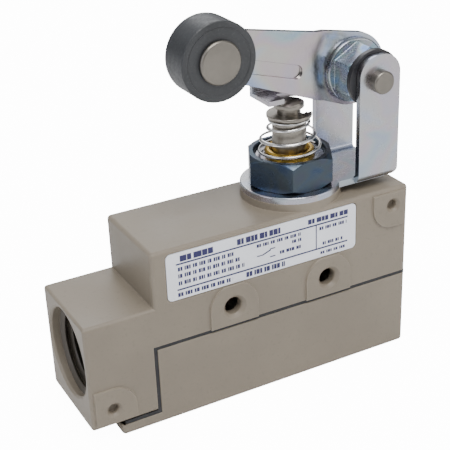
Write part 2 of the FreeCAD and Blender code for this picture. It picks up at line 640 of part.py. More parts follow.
def switch_base():
    body = box(CASE_LEFT, CASE_RIGHT, CASE_FRONT, CASE_BACK, CASE_BOTTOM, CASE_SPLIT)
    bore = HOLE_BORE / 2 + SLEEVE_WALL + CASE_HOLE_CLEAR
    tools = [cyl_y(bore, x, 0, CASE_FRONT - EPS, CASE_BACK + EPS) for x in HOLE_XS]
    tools.append(case_room(CAVITY_FLOOR, CASE_SPLIT + EPS))
    tools += [post_slot(x, CASE_BOTTOM - EPS, CASE_SPLIT, SLOT_CLEAR)
              for x in (BLADE_ANCHOR_X, OPEN_CONTACT_X, CLOSED_POST_X)]
    tools += [cyl_z(TERMINAL_SCREW_SHANK / 2, x, MID_Y, CASE_BOTTOM - EPS,
                    CASE_BOTTOM + TERMINAL_SCREW_LENGTH)
              for x in (COMMON_SCREW_X, OPEN_SCREW_X, CLOSED_SCREW_X)]
    return body.cut(tools)


def switch_lid():
    body = box(CASE_LEFT, CASE_RIGHT, CASE_FRONT, CASE_BACK, CASE_SPLIT, CASE_TOP)
    tools = [case_room(CASE_SPLIT - EPS, CAVITY_TOP),
             cyl_z(PIN_D / 2 + RUN_CLEAR, PLUNGER_X, MID_Y, CASE_SPLIT, CASE_TOP + EPS)]
    return body.cut(tools)


def terminal_plate(x0, x1, screw_x):
    half = TERMINAL_WIDTH / 2
    plate = box(x0, x1, MID_Y - half, MID_Y + half, CASE_BOTTOM - TERMINAL_THICK, CASE_BOTTOM)
    return plate.cut(cyl_z(TERMINAL_SCREW_SHANK / 2 + TERMINAL_HOLE_CLEAR, screw_x, MID_Y,
                           CASE_BOTTOM - 2 * TERMINAL_THICK, CASE_BOTTOM + EPS))


def contact_button(x, z0, z1):
    return cyl_z(CONTACT_R, x, MID_Y, z0, z1)


def common_terminal():
    plate = terminal_plate(CASE_LEFT + TERMINAL_END_GAP, BLADE_ANCHOR_X + TERMINAL_THICK / 2, COMMON_SCREW_X)
    top = BLADE_Z - BLADE_THICK / 2 - BLADE_GAP
    post = post_slot(BLADE_ANCHOR_X, CASE_BOTTOM - TERMINAL_THICK, top, 0.0)
    return fuse([plate, post])


def normally_open_terminal():
    plate = terminal_plate(OPEN_SCREW_X - TERMINAL_REACH, OPEN_CONTACT_X + TERMINAL_THICK / 2, OPEN_SCREW_X)
    post = post_slot(OPEN_CONTACT_X, CASE_BOTTOM - TERMINAL_THICK,
                     OPEN_TOP - BUTTON_SINK, 0.0)
    button = contact_button(OPEN_CONTACT_X, CAVITY_FLOOR + SLOT_CLEAR, OPEN_TOP + BUTTON_SINK)
    return fuse([plate, post, button])


def normally_closed_terminal():
    plate = terminal_plate(OPEN_CONTACT_X + TERMINAL_THICK / 2 + TERMINAL_GAP, CASE_RIGHT,
                           CLOSED_SCREW_X)
    post = post_slot(CLOSED_POST_X, CASE_BOTTOM - TERMINAL_THICK, 
                     CLOSED_ARM_Z + TERMINAL_THICK, 0.0)
    arm = box(OPEN_CONTACT_X - CONTACT_R, CLOSED_POST_X + TERMINAL_THICK / 2, MID_Y - POST_HALF,
              MID_Y + POST_HALF, CLOSED_ARM_Z, CLOSED_ARM_Z + TERMINAL_THICK)
    button = contact_button(OPEN_CONTACT_X, CLOSED_ARM_Z - CONTACT_THICK,
                            CLOSED_ARM_Z + BUTTON_SINK)
    return fuse([plate, post, arm, button])


def terminal_screws():
    screws = []
    under = CASE_BOTTOM - TERMINAL_THICK
    for x in (COMMON_SCREW_X, OPEN_SCREW_X, CLOSED_SCREW_X):
        head = cyl_z(TERMINAL_SCREW_HEAD / 2, x, MID_Y, under - TERMINAL_SCREW_HEAD_HEIGHT, under)
        slot = box(x - TERMINAL_REACH, x + TERMINAL_REACH, MID_Y - DRIVE_SLOT / 2,
                   MID_Y + DRIVE_SLOT / 2, under - TERMINAL_REACH,
                   under - TERMINAL_SCREW_HEAD_HEIGHT + DRIVE_SLOT)
        shank = cyl_z(TERMINAL_SCREW_SHANK / 2 - SLOT_CLEAR, x, MID_Y, under,
                      CASE_BOTTOM + TERMINAL_SCREW_LENGTH - TERMINAL_SCREW_SHORT)
        screws.append(head.cut(slot).fuse(shank).removeSplitter())
    return Part.makeCompound(screws)


def moving_blade():
    half = BLADE_WIDTH / 2
    low, high = BLADE_Z - BLADE_THICK / 2, BLADE_Z + BLADE_THICK / 2
    strip = box(BLADE_ANCHOR_X - BLADE_TAIL, OPEN_CONTACT_X + CONTACT_R, MID_Y - half, MID_Y + half,
                low, high)
    window = box(BLADE_ANCHOR_X + WINDOW_INSET, PLUNGER_X - WINDOW_INSET,
                 MID_Y - WINDOW_WIDTH / 2, MID_Y + WINDOW_WIDTH / 2,
                 low - EPS, high + EPS)
    button = contact_button(OPEN_CONTACT_X, low - CONTACT_THICK, high + CONTACT_THICK)
    return fuse([strip.cut(window), button])


def switch_pin():
    low = BLADE_Z + BLADE_THICK / 2 + CONTACT_GAP
    shaft = cyl_z(PIN_D / 2, PLUNGER_X, MID_Y, low + PIN_TIP, PIN_TOP)
    return fuse([shaft, cyl_z(PIN_TIP_D / 2, PLUNGER_X, MID_Y, low, low + PIN_TIP + NEAR)])


# --- plunger head -----------------------------------------------------------
def head_sleeve():
    flange_top = TOP - WALL
    flange_bottom = flange_top - SLEEVE_FLANGE_THICK
    body = fuse([cyl_z(THREAD_OD / 2, PLUNGER_X, MID_Y, flange_bottom - SLEEVE_BELOW, SLEEVE_END),
                 cyl_z(SLEEVE_FLANGE / 2, PLUNGER_X, MID_Y, flange_bottom, flange_top)])
    return body.cut([cyl_z(BUSH_OD / 2, PLUNGER_X, MID_Y, BUSH_BOTTOM, SLEEVE_END + EPS),
                     cyl_z(SLEEVE_LOWER_BORE / 2, PLUNGER_X, MID_Y,
                           flange_bottom - SLEEVE_BELOW - EPS, BUSH_BOTTOM + EPS)])


def seal_z():
    return BUSH_BOTTOM + SEAL_UP


def guide_bushing():
    body = cyl_z(BUSH_OD / 2, PLUNGER_X, MID_Y, BUSH_BOTTOM, BUSH_TOP)
    bore = cyl_z(PLUNGER_OD / 2 + RUN_CLEAR, PLUNGER_X, MID_Y, BUSH_BOTTOM - EPS, BUSH_TOP + EPS)
    groove = cyl_z(PLUNGER_OD / 2 + SEAL_WIRE * SEAL_DEPTH, PLUNGER_X, MID_Y,
                   seal_z() - SEAL_WIRE * SEAL_HALF, seal_z() + SEAL_WIRE * SEAL_HALF)
    mouth = cone_z(PLUNGER_OD / 2, PLUNGER_OD / 2 + BUSH_MOUTH, PLUNGER_X, MID_Y,
                   BUSH_TOP - BUSH_MOUTH, BUSH_TOP)
    rim = cyl_z(BUSH_OD, PLUNGER_X, MID_Y, BUSH_TOP - BUSH_RIM, BUSH_TOP + EPS).cut(
        cone_z(BUSH_OD / 2, BUSH_OD / 2 - BUSH_RIM, PLUNGER_X, MID_Y, BUSH_TOP - BUSH_RIM, BUSH_TOP))
    return body.cut([bore, groove, mouth, rim])


def plunger_seal():
    inner = PLUNGER_OD / 2 + RUN_CLEAR / 2
    outer = PLUNGER_OD / 2 + SEAL_WIRE * SEAL_DEPTH
    ring = cyl_z(outer, PLUNGER_X, MID_Y, seal_z() - SEAL_WIRE / 2, seal_z() + SEAL_WIRE / 2)
    return ring.cut(cyl_z(inner, PLUNGER_X, MID_Y, seal_z() - SEAL_WIRE, seal_z() + SEAL_WIRE))


def head_nut():
    top = NUT_BOTTOM + NUT_HEIGHT
    corner = NUT_AF / 2 / math.cos(math.pi / 6)
    blank = hexagon_z(NUT_AF, PLUNGER_X, MID_Y, NUT_BOTTOM, top, NUT_TURN)
    depth = (corner - NUT_AF / 2) * NUT_CROWN_RATIO
    small = corner - NUT_CROWN
    crown = fuse([cyl_z(corner, PLUNGER_X, MID_Y, NUT_BOTTOM + depth, top - depth),
                  cone_z(corner, small, PLUNGER_X, MID_Y, top - depth, top),
                  cone_z(small, corner, PLUNGER_X, MID_Y, NUT_BOTTOM, NUT_BOTTOM + depth)])
    nut = blank.common(crown)
    return nut.cut([cyl_z(THREAD_OD / 2 + THREAD_CLEAR, PLUNGER_X, MID_Y, NUT_BOTTOM - EPS,
                          top + EPS),
                    cone_z(THREAD_OD / 2, NUT_MOUTH / 2, PLUNGER_X, MID_Y,
                           top - NUT_MOUTH_DEPTH, top)])


def plunger():
    shaft = cyl_z(PLUNGER_OD / 2, PLUNGER_X, MID_Y, PLUNGER_BOTTOM, PLUNGER_SHOULDER)
    neck = cyl_z(NECK_OD / 2, PLUNGER_X, MID_Y, PLUNGER_SHOULDER, HEAD_RIM_TOP)
    rim = cyl_z(HEAD_OD / 2, PLUNGER_X, MID_Y, HEAD_RIM_TOP - HEAD_RIM, HEAD_RIM_TOP)
    dome = Part.makeSphere(HEAD_DOME, Vector(PLUNGER_X, MID_Y, HEAD_APEX - HEAD_DOME))
    dome = dome.common(cyl_z(HEAD_OD / 2, PLUNGER_X, MID_Y, HEAD_RIM_TOP - DOME_SINK, HEAD_APEX + EPS))
    bore = cyl_z(PLUNGER_BORE / 2, PLUNGER_X, MID_Y, PLUNGER_BOTTOM - EPS, PLUNGER_BORE_TOP)
    ring_top = BUSH_BOTTOM - STOP_GAP
    groove = cyl_z(PLUNGER_OD, PLUNGER_X, MID_Y, ring_top - STOP_RING_THICK, ring_top).cut(
        cyl_z(PLUNGER_OD / 2 - RING_GROOVE, PLUNGER_X, MID_Y,
               ring_top - 2, ring_top + 1))
    return fuse([shaft, neck, rim, dome]).cut([bore, groove])


def plunger_stop_ring():
    ring_top = BUSH_BOTTOM - STOP_GAP
    ring = cyl_z(STOP_RING_OD / 2, PLUNGER_X, MID_Y, ring_top - STOP_RING_THICK, ring_top)
    slot = box(PLUNGER_X - RING_SLOT / 2, PLUNGER_X + RING_SLOT / 2, MID_Y - STOP_RING_OD, MID_Y,
               ring_top - 2, ring_top + 1)
    return ring.cut([cyl_z(PLUNGER_OD / 2 - RING_GROOVE, PLUNGER_X, MID_Y,
               ring_top - 2, ring_top + 1), slot])


def spring_retainer():
    low = PLUNGER_SHOULDER + RETAINER_LIFT
    disc = cyl_z(RETAINER_OD / 2, PLUNGER_X, MID_Y, low, low + RETAINER_THICK)
    hub = cyl_z(PLUNGER_OD / 2, PLUNGER_X, MID_Y, PLUNGER_SHOULDER, low)
    ring = fuse([disc, hub])
    slot = box(PLUNGER_X, PLUNGER_X + RETAINER_OD, MID_Y - NECK_OD / 2 + RETAINER_GRIP,
               MID_Y + NECK_OD / 2 - RETAINER_GRIP, PLUNGER_SHOULDER - EPS, low + RETAINER_THICK + EPS)
    return ring.cut([cyl_z(NECK_OD / 2, PLUNGER_X, MID_Y, PLUNGER_SHOULDER - EPS,
                           low + RETAINER_THICK + EPS), slot])


def return_spring():
    return coil(PLUNGER_X, MID_Y, SLEEVE_END + SPRING_GAP,
                PLUNGER_SHOULDER + RETAINER_LIFT - SPRING_GAP,
                (SPRING_BOTTOM_OD - SPRING_WIRE) / 2, (SPRING_TOP_OD - SPRING_WIRE) / 2,
                SPRING_WIRE, SPRING_TURNS)


def overtravel_spring():
    radius = (INNER_SPRING_OD - INNER_SPRING_WIRE) / 2
    return coil(PLUNGER_X, MID_Y, ROD_HEAD_TOP + SPRING_GAP, PLUNGER_BORE_TOP - SPRING_GAP,
                radius, radius, INNER_SPRING_WIRE, INNER_SPRING_TURNS)


def push_rod():
    head = cyl_z(ROD_HEAD_OD / 2, PLUNGER_X, MID_Y, ROD_HEAD_TOP - ROD_HEAD, ROD_HEAD_TOP)
    return fuse([head, cyl_z(ROD_OD / 2, PLUNGER_X, MID_Y, PIN_TOP, ROD_HEAD_TOP - ROD_HEAD)])


# --- swivel bracket ---------------------------------------------------------
def ear_span():
    x0 = PLUNGER_X + EAR_FROM_PLUNGER
    return x0, x0 + EAR_WIDTH


def bracket_yoke():
    x0, x1 = ear_span()
    z0, z1 = BOSS_TOP, BOSS_TOP + SHEET
    top = BOSS_TOP + EAR_TOP
    outer = box(x0, x1, YOKE_FRONT, YOKE_BACK, z0, top)
    outer = outer.makeFillet(BEND_INNER + SHEET, [
        e for e in outer.Edges if e.CenterOfMass.z < z0 + NEAR
        and abs(e.tangentAt(e.FirstParameter).x) > ALONG])
    inner = box(x0 - EPS, x1 + EPS, YOKE_FRONT + SHEET, YOKE_BACK - SHEET, z1, top + EPS)
    inner = inner.makeFillet(BEND_INNER, [
        e for e in inner.Edges if e.CenterOfMass.z < z1 + NEAR
        and abs(e.tangentAt(e.FirstParameter).x) > ALONG])
    ears = outer.cut(inner)
    side = box(x0, x1, YOKE_FRONT, YOKE_BACK, z0, top)
    crown = [e for e in side.Edges if abs(e.tangentAt(e.FirstParameter).y) > ALONG
             and e.CenterOfMass.z > top - NEAR]
    side = side.makeFillet(EAR_TOP_RADIUS, crown)
    side = side.makeFillet(EAR_FOOT_RADIUS, [
        e for e in side.Edges if abs(e.tangentAt(e.FirstParameter).y) > ALONG
        and e.CenterOfMass.z < z0 + NEAR and e.CenterOfMass.x > x1 - NEAR])
    ears = ears.common(side)
    half = NECK_WIDTH / 2
    disc = cyl_z(BASE_DISC_OD / 2, PLUNGER_X, MID_Y, z0, z1)
    disc = disc.makeFillet(DISC_EDGE, [e for e in disc.Edges if abs(e.CenterOfMass.z - z1) < NEAR])
    neck = box(PLUNGER_X, x1 - EAR_FOOT_RADIUS, MID_Y - half, MID_Y + half, z0, z1)
    plate = fuse([disc, neck, ears])
    tools = [cyl_z(THREAD_OD / 2 + SWIVEL_CLEAR, PLUNGER_X, MID_Y, z0 - EPS, z1 + EPS),
             cyl_y(PIN_OD / 2, PIVOT_X, PIVOT_Z, YOKE_FRONT - EPS, YOKE_BACK + EPS)]
    return plate.cut(tools)


def pivot_pin():
    y0, y1 = YOKE_FRONT - PIN_FRONT, YOKE_BACK + PIN_BACK
    bar = cyl_y(PIN_OD / 2, PIVOT_X, PIVOT_Z, y0, y1)
    groove_y = YOKE_BACK + CLIP_GAP
    groove = cyl_y(PIN_OD, PIVOT_X, PIVOT_Z, groove_y, groove_y + CLIP_THICK).cut(
        cyl_y(PIN_OD / 2 - CLIP_GROOVE, PIVOT_X, PIVOT_Z, groove_y - EPS, groove_y + CLIP_THICK + EPS))
    return bar.cut([chamfer_end_y(PIN_OD / 2, PIVOT_X, PIVOT_Z, y0, PIN_CHAMFER, -1),
                    chamfer_end_y(PIN_OD / 2, PIVOT_X, PIVOT_Z, y1, PIN_CHAMFER, 1), groove])


def pin_clip():
    y0 = YOKE_BACK + CLIP_GAP
    ring = cyl_y(CLIP_OD / 2, PIVOT_X, PIVOT_Z, y0, y0 + CLIP_THICK)
    slot = box(PIVOT_X - CLIP_SLOT / 2, PIVOT_X + CLIP_SLOT / 2, y0 - EPS, y0 + CLIP_THICK + EPS,
               PIVOT_Z - CLIP_OD, PIVOT_Z)
    return ring.cut([cyl_y(PIN_OD / 2 - CLIP_GROOVE, PIVOT_X, PIVOT_Z, y0 - EPS, y0 + CLIP_THICK + EPS),
                     slot])


# --- lever ------------------------------------------------------------------
def pivot_bore():
    return cyl_y(PIN_OD / 2 + RUN_CLEAR, PIVOT_X, PIVOT_Z, YOKE_FRONT, YOKE_BACK)


def spacer_washer():
    return cyl_y(WASHER_OD / 2, PIVOT_X, PIVOT_Z, WASHER_Y, WASHER_Y + WASHER_THICK).cut(pivot_bore())


def hub_sleeve():
    seat = ARM_Y + ARM_SHEET
    body = fuse([cyl_y(HUB_OD / 2, PIVOT_X, PIVOT_Z, HUB_FRONT, HUB_END),
                 cyl_y(HUB_COLLAR_OD / 2, PIVOT_X, PIVOT_Z, seat, PRESS_Y),
                 cyl_y(HUB_TAIL_OD / 2, PIVOT_X, PIVOT_Z, PRESS_Y + PRESS_SHEET, HUB_END)])
    return body.cut(pivot_bore())


def pressing_lever():
    tip = PLUNGER_X - PRESS_TIP_REACH
    top = FOOT_Z + PRESS_PLATE_RISE
    y0, y1 = PRESS_Y, PRESS_Y + PRESS_SHEET
    plate = prism_y([(tip, FOOT_Z), (PIVOT_X, PIVOT_Z - PRESS_HUB_RADIUS),
                     (PIVOT_X, PIVOT_Z + PRESS_HUB_RADIUS), (tip, top)], y0, y1)
    hub = cyl_y(PRESS_HUB_RADIUS, PIVOT_X, PIVOT_Z, y0, y1)
    rear = box(tip, PLUNGER_X + FOOT_BACK_REACH, MID_Y + FOOT_BACK_EDGE, y1,
               FOOT_Z, FOOT_Z + PRESS_SHEET)
    front = box(tip, tip + FOOT_FRONT_WIDTH, MID_Y - FOOT_FRONT_EDGE, y1,
                FOOT_Z, FOOT_Z + PRESS_SHEET)
    body = fuse([plate, hub, rear, front])
    below = box(tip - EPS, PLUNGER_X + FOOT_BACK_REACH, y0 - EPS, y1 + EPS, 0, FOOT_Z)
    stem = cyl_y(HUB_OD / 2, PIVOT_X, PIVOT_Z, y0 - EPS, y1 + EPS)
    return body.cut([below, stem])


def arm_point(along, across):
    """Point at a distance along the arm from the pivot and across its centre line."""
    c, s = math.cos(ARM_RAD), math.sin(ARM_RAD)
    return PIVOT_X - along * c + across * s, PIVOT_Z + along * s + across * c


def arm_outline(y0, y1):
    """Tapered plate that runs tangent from the hub's circle to the end circle."""
    lean = math.asin((ARM_HUB_RADIUS - ARM_END_RADIUS) / ARM_LENGTH)
    c, s = math.cos(lean), math.sin(lean)
    corners = [arm_point(ARM_HUB_RADIUS * s, ARM_HUB_RADIUS * c),
               arm_point(ARM_LENGTH + ARM_END_RADIUS * s, ARM_END_RADIUS * c),
               arm_point(ARM_LENGTH + ARM_END_RADIUS * s, -ARM_END_RADIUS * c),
               arm_point(ARM_HUB_RADIUS * s, -ARM_HUB_RADIUS * c)]
    return fuse([prism_y(corners, y0, y1),
                 cyl_y(ARM_HUB_RADIUS, PIVOT_X, PIVOT_Z, y0, y1),
                 cyl_y(ARM_END_RADIUS, ROLLER_X, ROLLER_Z, y0, y1)])


def arm_sheet():
    """Sheet with the sideways step, before it is trimmed to the arm's outline."""
    near = PIVOT_X - ARM_JOGGLE_START
    far = near - ARM_JOGGLE_RUN
    low, high = PIVOT_Z - 2 * ARM_LENGTH, PIVOT_Z + 2 * ARM_LENGTH
    left, right = PIVOT_X - 2 * ARM_LENGTH, PIVOT_X + 2 * ARM_HUB_RADIUS
    outline = [(left, ARM_OUT_Y), (far, ARM_OUT_Y), (near, ARM_Y), (right, ARM_Y),
               (right, ARM_Y + ARM_SHEET), (near, ARM_Y + ARM_SHEET),
               (far, ARM_OUT_Y + ARM_SHEET), (left, ARM_OUT_Y + ARM_SHEET)]
    points = [Vector(x, y, low) for x, y in outline]
    return Part.Face(Part.makePolygon(points + points[:1])).extrude(Vector(0, 0, high - low))


def rib(radius, y0, y1):
    """Round-ended bar along the arm, used for the pressed rib."""
    ends = [arm_point(RIB_START + RIB_WIDTH / 2, -RIB_OFFSET),
            arm_point(ARM_LENGTH - RIB_END_LEFT - RIB_WIDTH / 2, -RIB_OFFSET)]
    c, s = math.cos(ARM_RAD) * radius, math.sin(ARM_RAD) * radius
    (xa, za), (xb, zb) = ends
    middle = prism_y([(xa + s, za + c), (xb + s, zb + c), (xb - s, zb - c), (xa - s, za - c)],
                     y0, y1)
    return fuse([middle, cyl_y(radius, xa, za, y0, y1), cyl_y(radius, xb, zb, y0, y1)])


def roller_arm():
    span = (ARM_OUT_Y - EPS, ARM_Y + ARM_SHEET + EPS)
    plate = arm_sheet().common(arm_outline(*span))
    back = ARM_OUT_Y + ARM_SHEET
    ridge = rib(RIB_WIDTH / 2, back - RIB_SINK, back + RIB_DEPTH * RIB_BACK_SHARE)
    plate = plate.fuse(ridge).removeSplitter()
    groove = rib(RIB_WIDTH / 2 - RIB_SIDE, ARM_OUT_Y - EPS, ARM_OUT_Y + RIB_DEPTH)
    return plate.cut([groove, cyl_y(HUB_OD / 2 + PRESS_CLEAR, PIVOT_X, PIVOT_Z, *span),
                      cyl_y(RIVET_STEM_OD / 2, ROLLER_X, ROLLER_Z, *span)])


def hub_nut():
    corner = HUB_NUT_AF / 2 / math.cos(math.pi / 6)
    shoulder = HUB_FRONT + HUB_NUT_BEVEL
    blank = hexagon_y(HUB_NUT_AF, PIVOT_X, PIVOT_Z, HUB_FRONT, FLANGE_Y, HUB_NUT_TURN)
    crown = fuse([cyl_y(corner, PIVOT_X, PIVOT_Z, shoulder, FLANGE_Y),
                  cone_y(corner - HUB_NUT_CROWN, corner, PIVOT_X, PIVOT_Z, HUB_FRONT, shoulder)])
    flange = cyl_y(HUB_FLANGE_OD / 2, PIVOT_X, PIVOT_Z, FLANGE_Y, ARM_Y)
    flange = fillet_edges(flange, HUB_FLANGE_EDGE, lambda c: abs(c.y - FLANGE_Y) < NEAR)
    body = fuse([blank.common(crown), flange])
    return body.cut(cyl_y(HUB_OD / 2 + THREAD_CLEAR, PIVOT_X, PIVOT_Z, HUB_FRONT - EPS, ARM_Y + EPS))


def roller():
    radius = ROLLER_OD / 2
    body = cyl_y(radius, ROLLER_X, ROLLER_Z, ROLLER_FRONT, ROLLER_BACK)
    return body.cut([
        chamfer_end_y(radius, ROLLER_X, ROLLER_Z, ROLLER_FRONT, ROLLER_CHAMFER, -1),
        chamfer_end_y(radius, ROLLER_X, ROLLER_Z, ROLLER_BACK, ROLLER_CHAMFER, 1),
        cyl_y(ROLLER_SHAFT / 2 + RUN_CLEAR, ROLLER_X, ROLLER_Z, ROLLER_FRONT - EPS,
              ROLLER_BACK + EPS)])


def roller_pin():
    head_back = ROLLER_FRONT - ROLLER_GAP
    arm_back = ARM_OUT_Y + ARM_SHEET
    head = cyl_y(RIVET_HEAD_OD / 2, ROLLER_X, ROLLER_Z, head_back - RIVET_HEAD, head_back)
    head = head.cut(chamfer_end_y(RIVET_HEAD_OD / 2, ROLLER_X, ROLLER_Z,
                                  head_back - RIVET_HEAD, RIVET_EDGE, -1))
    return fuse([head,
                 cyl_y(ROLLER_SHAFT / 2, ROLLER_X, ROLLER_Z, head_back, ARM_OUT_Y),
                 cyl_y(RIVET_STEM_OD / 2, ROLLER_X, ROLLER_Z, ARM_OUT_Y, arm_back),
                 cyl_y(RIVET_TAIL_OD / 2, ROLLER_X, ROLLER_Z, arm_back, arm_back + RIVET_TAIL)])


PARTS = [housing, cover, cover_gasket, cover_screws, nameplate, mounting_sleeves, ground_screw,
         switch_base, switch_lid, common_terminal, normally_open_terminal,
         normally_closed_terminal, terminal_screws, moving_blade, switch_pin,
         head_sleeve, guide_bushing, plunger_seal, head_nut, plunger, plunger_stop_ring,
         spring_retainer, return_spring, overtravel_spring, push_rod,
         bracket_yoke, pivot_pin, pin_clip, spacer_washer, hub_sleeve, pressing_lever,
         roller_arm, hub_nut, roller, roller_pin]


def main():
    os.makedirs("parts", exist_ok=True)
    for make in PARTS:
        shape = make()
        name = make.__name__
        if not shape.isValid() or not shape.Solids:
            raise RuntimeError(name + " is not a valid solid")
        shape.exportStep("parts/" + name + ".step")
        print(name, len(shape.Solids), round(shape.Volume, 1))


main()
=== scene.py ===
"""Looks of a roller-lever limit switch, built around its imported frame.

Laid out as an add-on: sizes and colours are scene properties, and each piece or group of
like pieces has its own operator.  Metres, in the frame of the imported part: X runs from the
conduit entry to the lever's pivot, Y out of the back and Z up to the roller.
"""
import json
import math

import bmesh
import bpy
from bpy.props import FloatProperty, FloatVectorProperty, IntProperty, PointerProperty
from mathutils import Matrix, Vector

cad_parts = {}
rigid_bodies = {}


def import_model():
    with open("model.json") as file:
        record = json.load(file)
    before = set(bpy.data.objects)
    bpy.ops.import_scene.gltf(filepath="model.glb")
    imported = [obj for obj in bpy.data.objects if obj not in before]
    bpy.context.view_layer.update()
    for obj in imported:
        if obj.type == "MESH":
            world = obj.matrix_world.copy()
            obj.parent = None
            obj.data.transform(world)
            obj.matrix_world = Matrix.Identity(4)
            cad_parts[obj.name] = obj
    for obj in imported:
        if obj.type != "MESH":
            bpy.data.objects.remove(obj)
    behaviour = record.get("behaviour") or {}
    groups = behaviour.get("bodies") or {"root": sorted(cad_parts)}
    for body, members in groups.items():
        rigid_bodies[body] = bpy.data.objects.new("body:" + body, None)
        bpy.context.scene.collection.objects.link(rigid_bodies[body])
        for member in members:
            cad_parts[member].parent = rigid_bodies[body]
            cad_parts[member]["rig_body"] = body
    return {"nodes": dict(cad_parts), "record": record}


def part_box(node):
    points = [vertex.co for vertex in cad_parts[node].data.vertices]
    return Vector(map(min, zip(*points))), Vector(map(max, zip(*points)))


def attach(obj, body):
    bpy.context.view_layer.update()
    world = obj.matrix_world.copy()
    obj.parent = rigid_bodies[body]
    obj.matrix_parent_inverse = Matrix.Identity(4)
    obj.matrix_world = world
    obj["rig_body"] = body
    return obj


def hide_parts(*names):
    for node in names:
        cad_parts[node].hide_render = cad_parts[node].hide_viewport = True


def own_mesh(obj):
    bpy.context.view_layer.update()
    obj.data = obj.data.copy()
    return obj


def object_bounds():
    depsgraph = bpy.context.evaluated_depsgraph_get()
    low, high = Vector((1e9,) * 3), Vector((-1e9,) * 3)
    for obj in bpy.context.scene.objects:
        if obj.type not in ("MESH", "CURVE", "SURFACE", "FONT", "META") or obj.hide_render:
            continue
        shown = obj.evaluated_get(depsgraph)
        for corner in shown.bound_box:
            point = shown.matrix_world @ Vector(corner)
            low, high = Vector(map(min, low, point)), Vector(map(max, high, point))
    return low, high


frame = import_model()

bl_info = {
    "name": "Roller Lever Limit Switch",
    "version": (1, 0, 0),
    "blender": (4, 5, 0),
    "location": "3D View > Sidebar > Limit Switch",
    "description": "Builds the finished pieces of a roller-lever limit switch",
    "category": "Add Mesh",
}

CAD_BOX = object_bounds()
MM = 0.001


# --- places read from the frame ---------------------------------------------
def low(node):
    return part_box(node)[0]


def high(node):
    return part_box(node)[1]


def middle(node):
    return (low(node) + high(node)) / 2


PLUNGER_AXIS = middle("plunger")
ROLLER_AXIS = middle("roller")


# --- settings ---------------------------------------------------------------
def length(name, description, default, lowest=0.0):
    return FloatProperty(name=name, description=description, default=default * MM,
                         min=lowest * MM, precision=5, subtype="DISTANCE", unit="LENGTH")


def colour(name, description, default):
    return FloatVectorProperty(name=name, description=description, default=default, size=3,
                               min=0.0, max=1.0, subtype="COLOR")


class LimitSwitchSizes(bpy.types.PropertyGroup):
    """Sizes of the finished pieces."""
    casting_edge: length("Casting edge", "Rounding on the enclosure's crisp edges", 0.22)
    metal_edge: length("Metal edge", "Rounding on stamped and turned edges", 0.13)
    thread_pitch: length("Thread pitch", "Pitch of the conduit thread", 1.81, 0.5)
    thread_depth: length("Thread depth", "Height of the conduit thread", 1.10)
    spring_wire: length("Spring wire", "Wire diameter of the return spring", 0.66, 0.1)
    spring_turns: FloatProperty(name="Spring turns", default=4.0, min=1.0, max=12.0,
                                description="Turns in the return spring")
    roller_edge: length("Roller edge", "Bevel around the roller's tread", 0.45)
    ink_rise: length("Ink rise", "Height of the print on the nameplate", 0.03)
    turn_steps: IntProperty(name="Turn steps", default=96, min=24, max=256,
                            description="Facets around a full turn")


class LimitSwitchColours(bpy.types.PropertyGroup):
    """Colours of the finishes."""
    paint: colour("Paint", "Enamel on the enclosure", (0.212, 0.181, 0.140))
    zinc: colour("Zinc", "Bright zinc plating", (0.43, 0.44, 0.49))
    dark_zinc: colour("Dark zinc", "Blue-black plating on the nuts", (0.060, 0.078, 0.105))
    steel: colour("Steel", "Bare turned steel", (0.27, 0.25, 0.22))
    brass: colour("Brass", "Turned brass", (0.56, 0.36, 0.07))
    copper: colour("Copper alloy", "Contact springs", (0.72, 0.42, 0.24))
    black: colour("Black finish", "Black oxide and rubber", (0.018, 0.018, 0.021))
    roller: colour("Roller", "Dark grey roller", (0.028, 0.030, 0.033))
    label: colour("Nameplate", "White nameplate", (0.82, 0.84, 0.90))
    ink: colour("Ink", "Navy print", (0.012, 0.012, 0.085))
    resin: colour("Resin", "Moulded switch case", (0.050, 0.030, 0.022))
    floor: colour("Floor", "Studio floor", (0.93, 0.93, 0.93))


# --- node groups shared by the finishes --------------------------------------
def node_group(name, inputs, outputs):
    tree = bpy.data.node_groups.new(name, "ShaderNodeTree")
    for label, kind, value in inputs:
        socket = tree.interface.new_socket(label, in_out="INPUT", socket_type=kind)
        socket.default_value = value
    for label, kind in outputs:
        tree.interface.new_socket(label, in_out="OUTPUT", socket_type=kind)
    return tree, tree.nodes.new("NodeGroupInput"), tree.nodes.new("NodeGroupOutput")


def feed(tree, socket, value):
    """Links a socket to another one, or sets it to a plain value."""
    if isinstance(value, bpy.types.NodeSocket):
        tree.links.new(value, socket)
    else:
        socket.default_value = value


def math_node(tree, operation, first, second):
    node = tree.nodes.new("ShaderNodeMath")
    node.operation = operation
    feed(tree, node.inputs[0], first)
    feed(tree, node.inputs[1], second)
    return node.outputs[0]


def map_range(tree, value, from_low, from_high, to_low=0.0, to_high=1.0):
    """A smooth step from one range to another."""
    node = tree.nodes.new("ShaderNodeMapRange")
    node.interpolation_type = "SMOOTHSTEP"
    tree.links.new(value, node.inputs["Value"])
    for label, number in (("From Min", from_low), ("From Max", from_high),
                          ("To Min", to_low), ("To Max", to_high)):
        feed(tree, node.inputs[label], number)
    return node.outputs["Result"]


def noise(tree, vector, scale, detail=3.0, roughness=0.55, distortion=0.0):
    node = tree.nodes.new("ShaderNodeTexNoise")
    tree.links.new(vector, node.inputs["Vector"])
    for label, value in (("Scale", scale), ("Detail", detail), ("Roughness", roughness),
                         ("Distortion", distortion)):
        feed(tree, node.inputs[label], value)
    return node.outputs["Fac"]


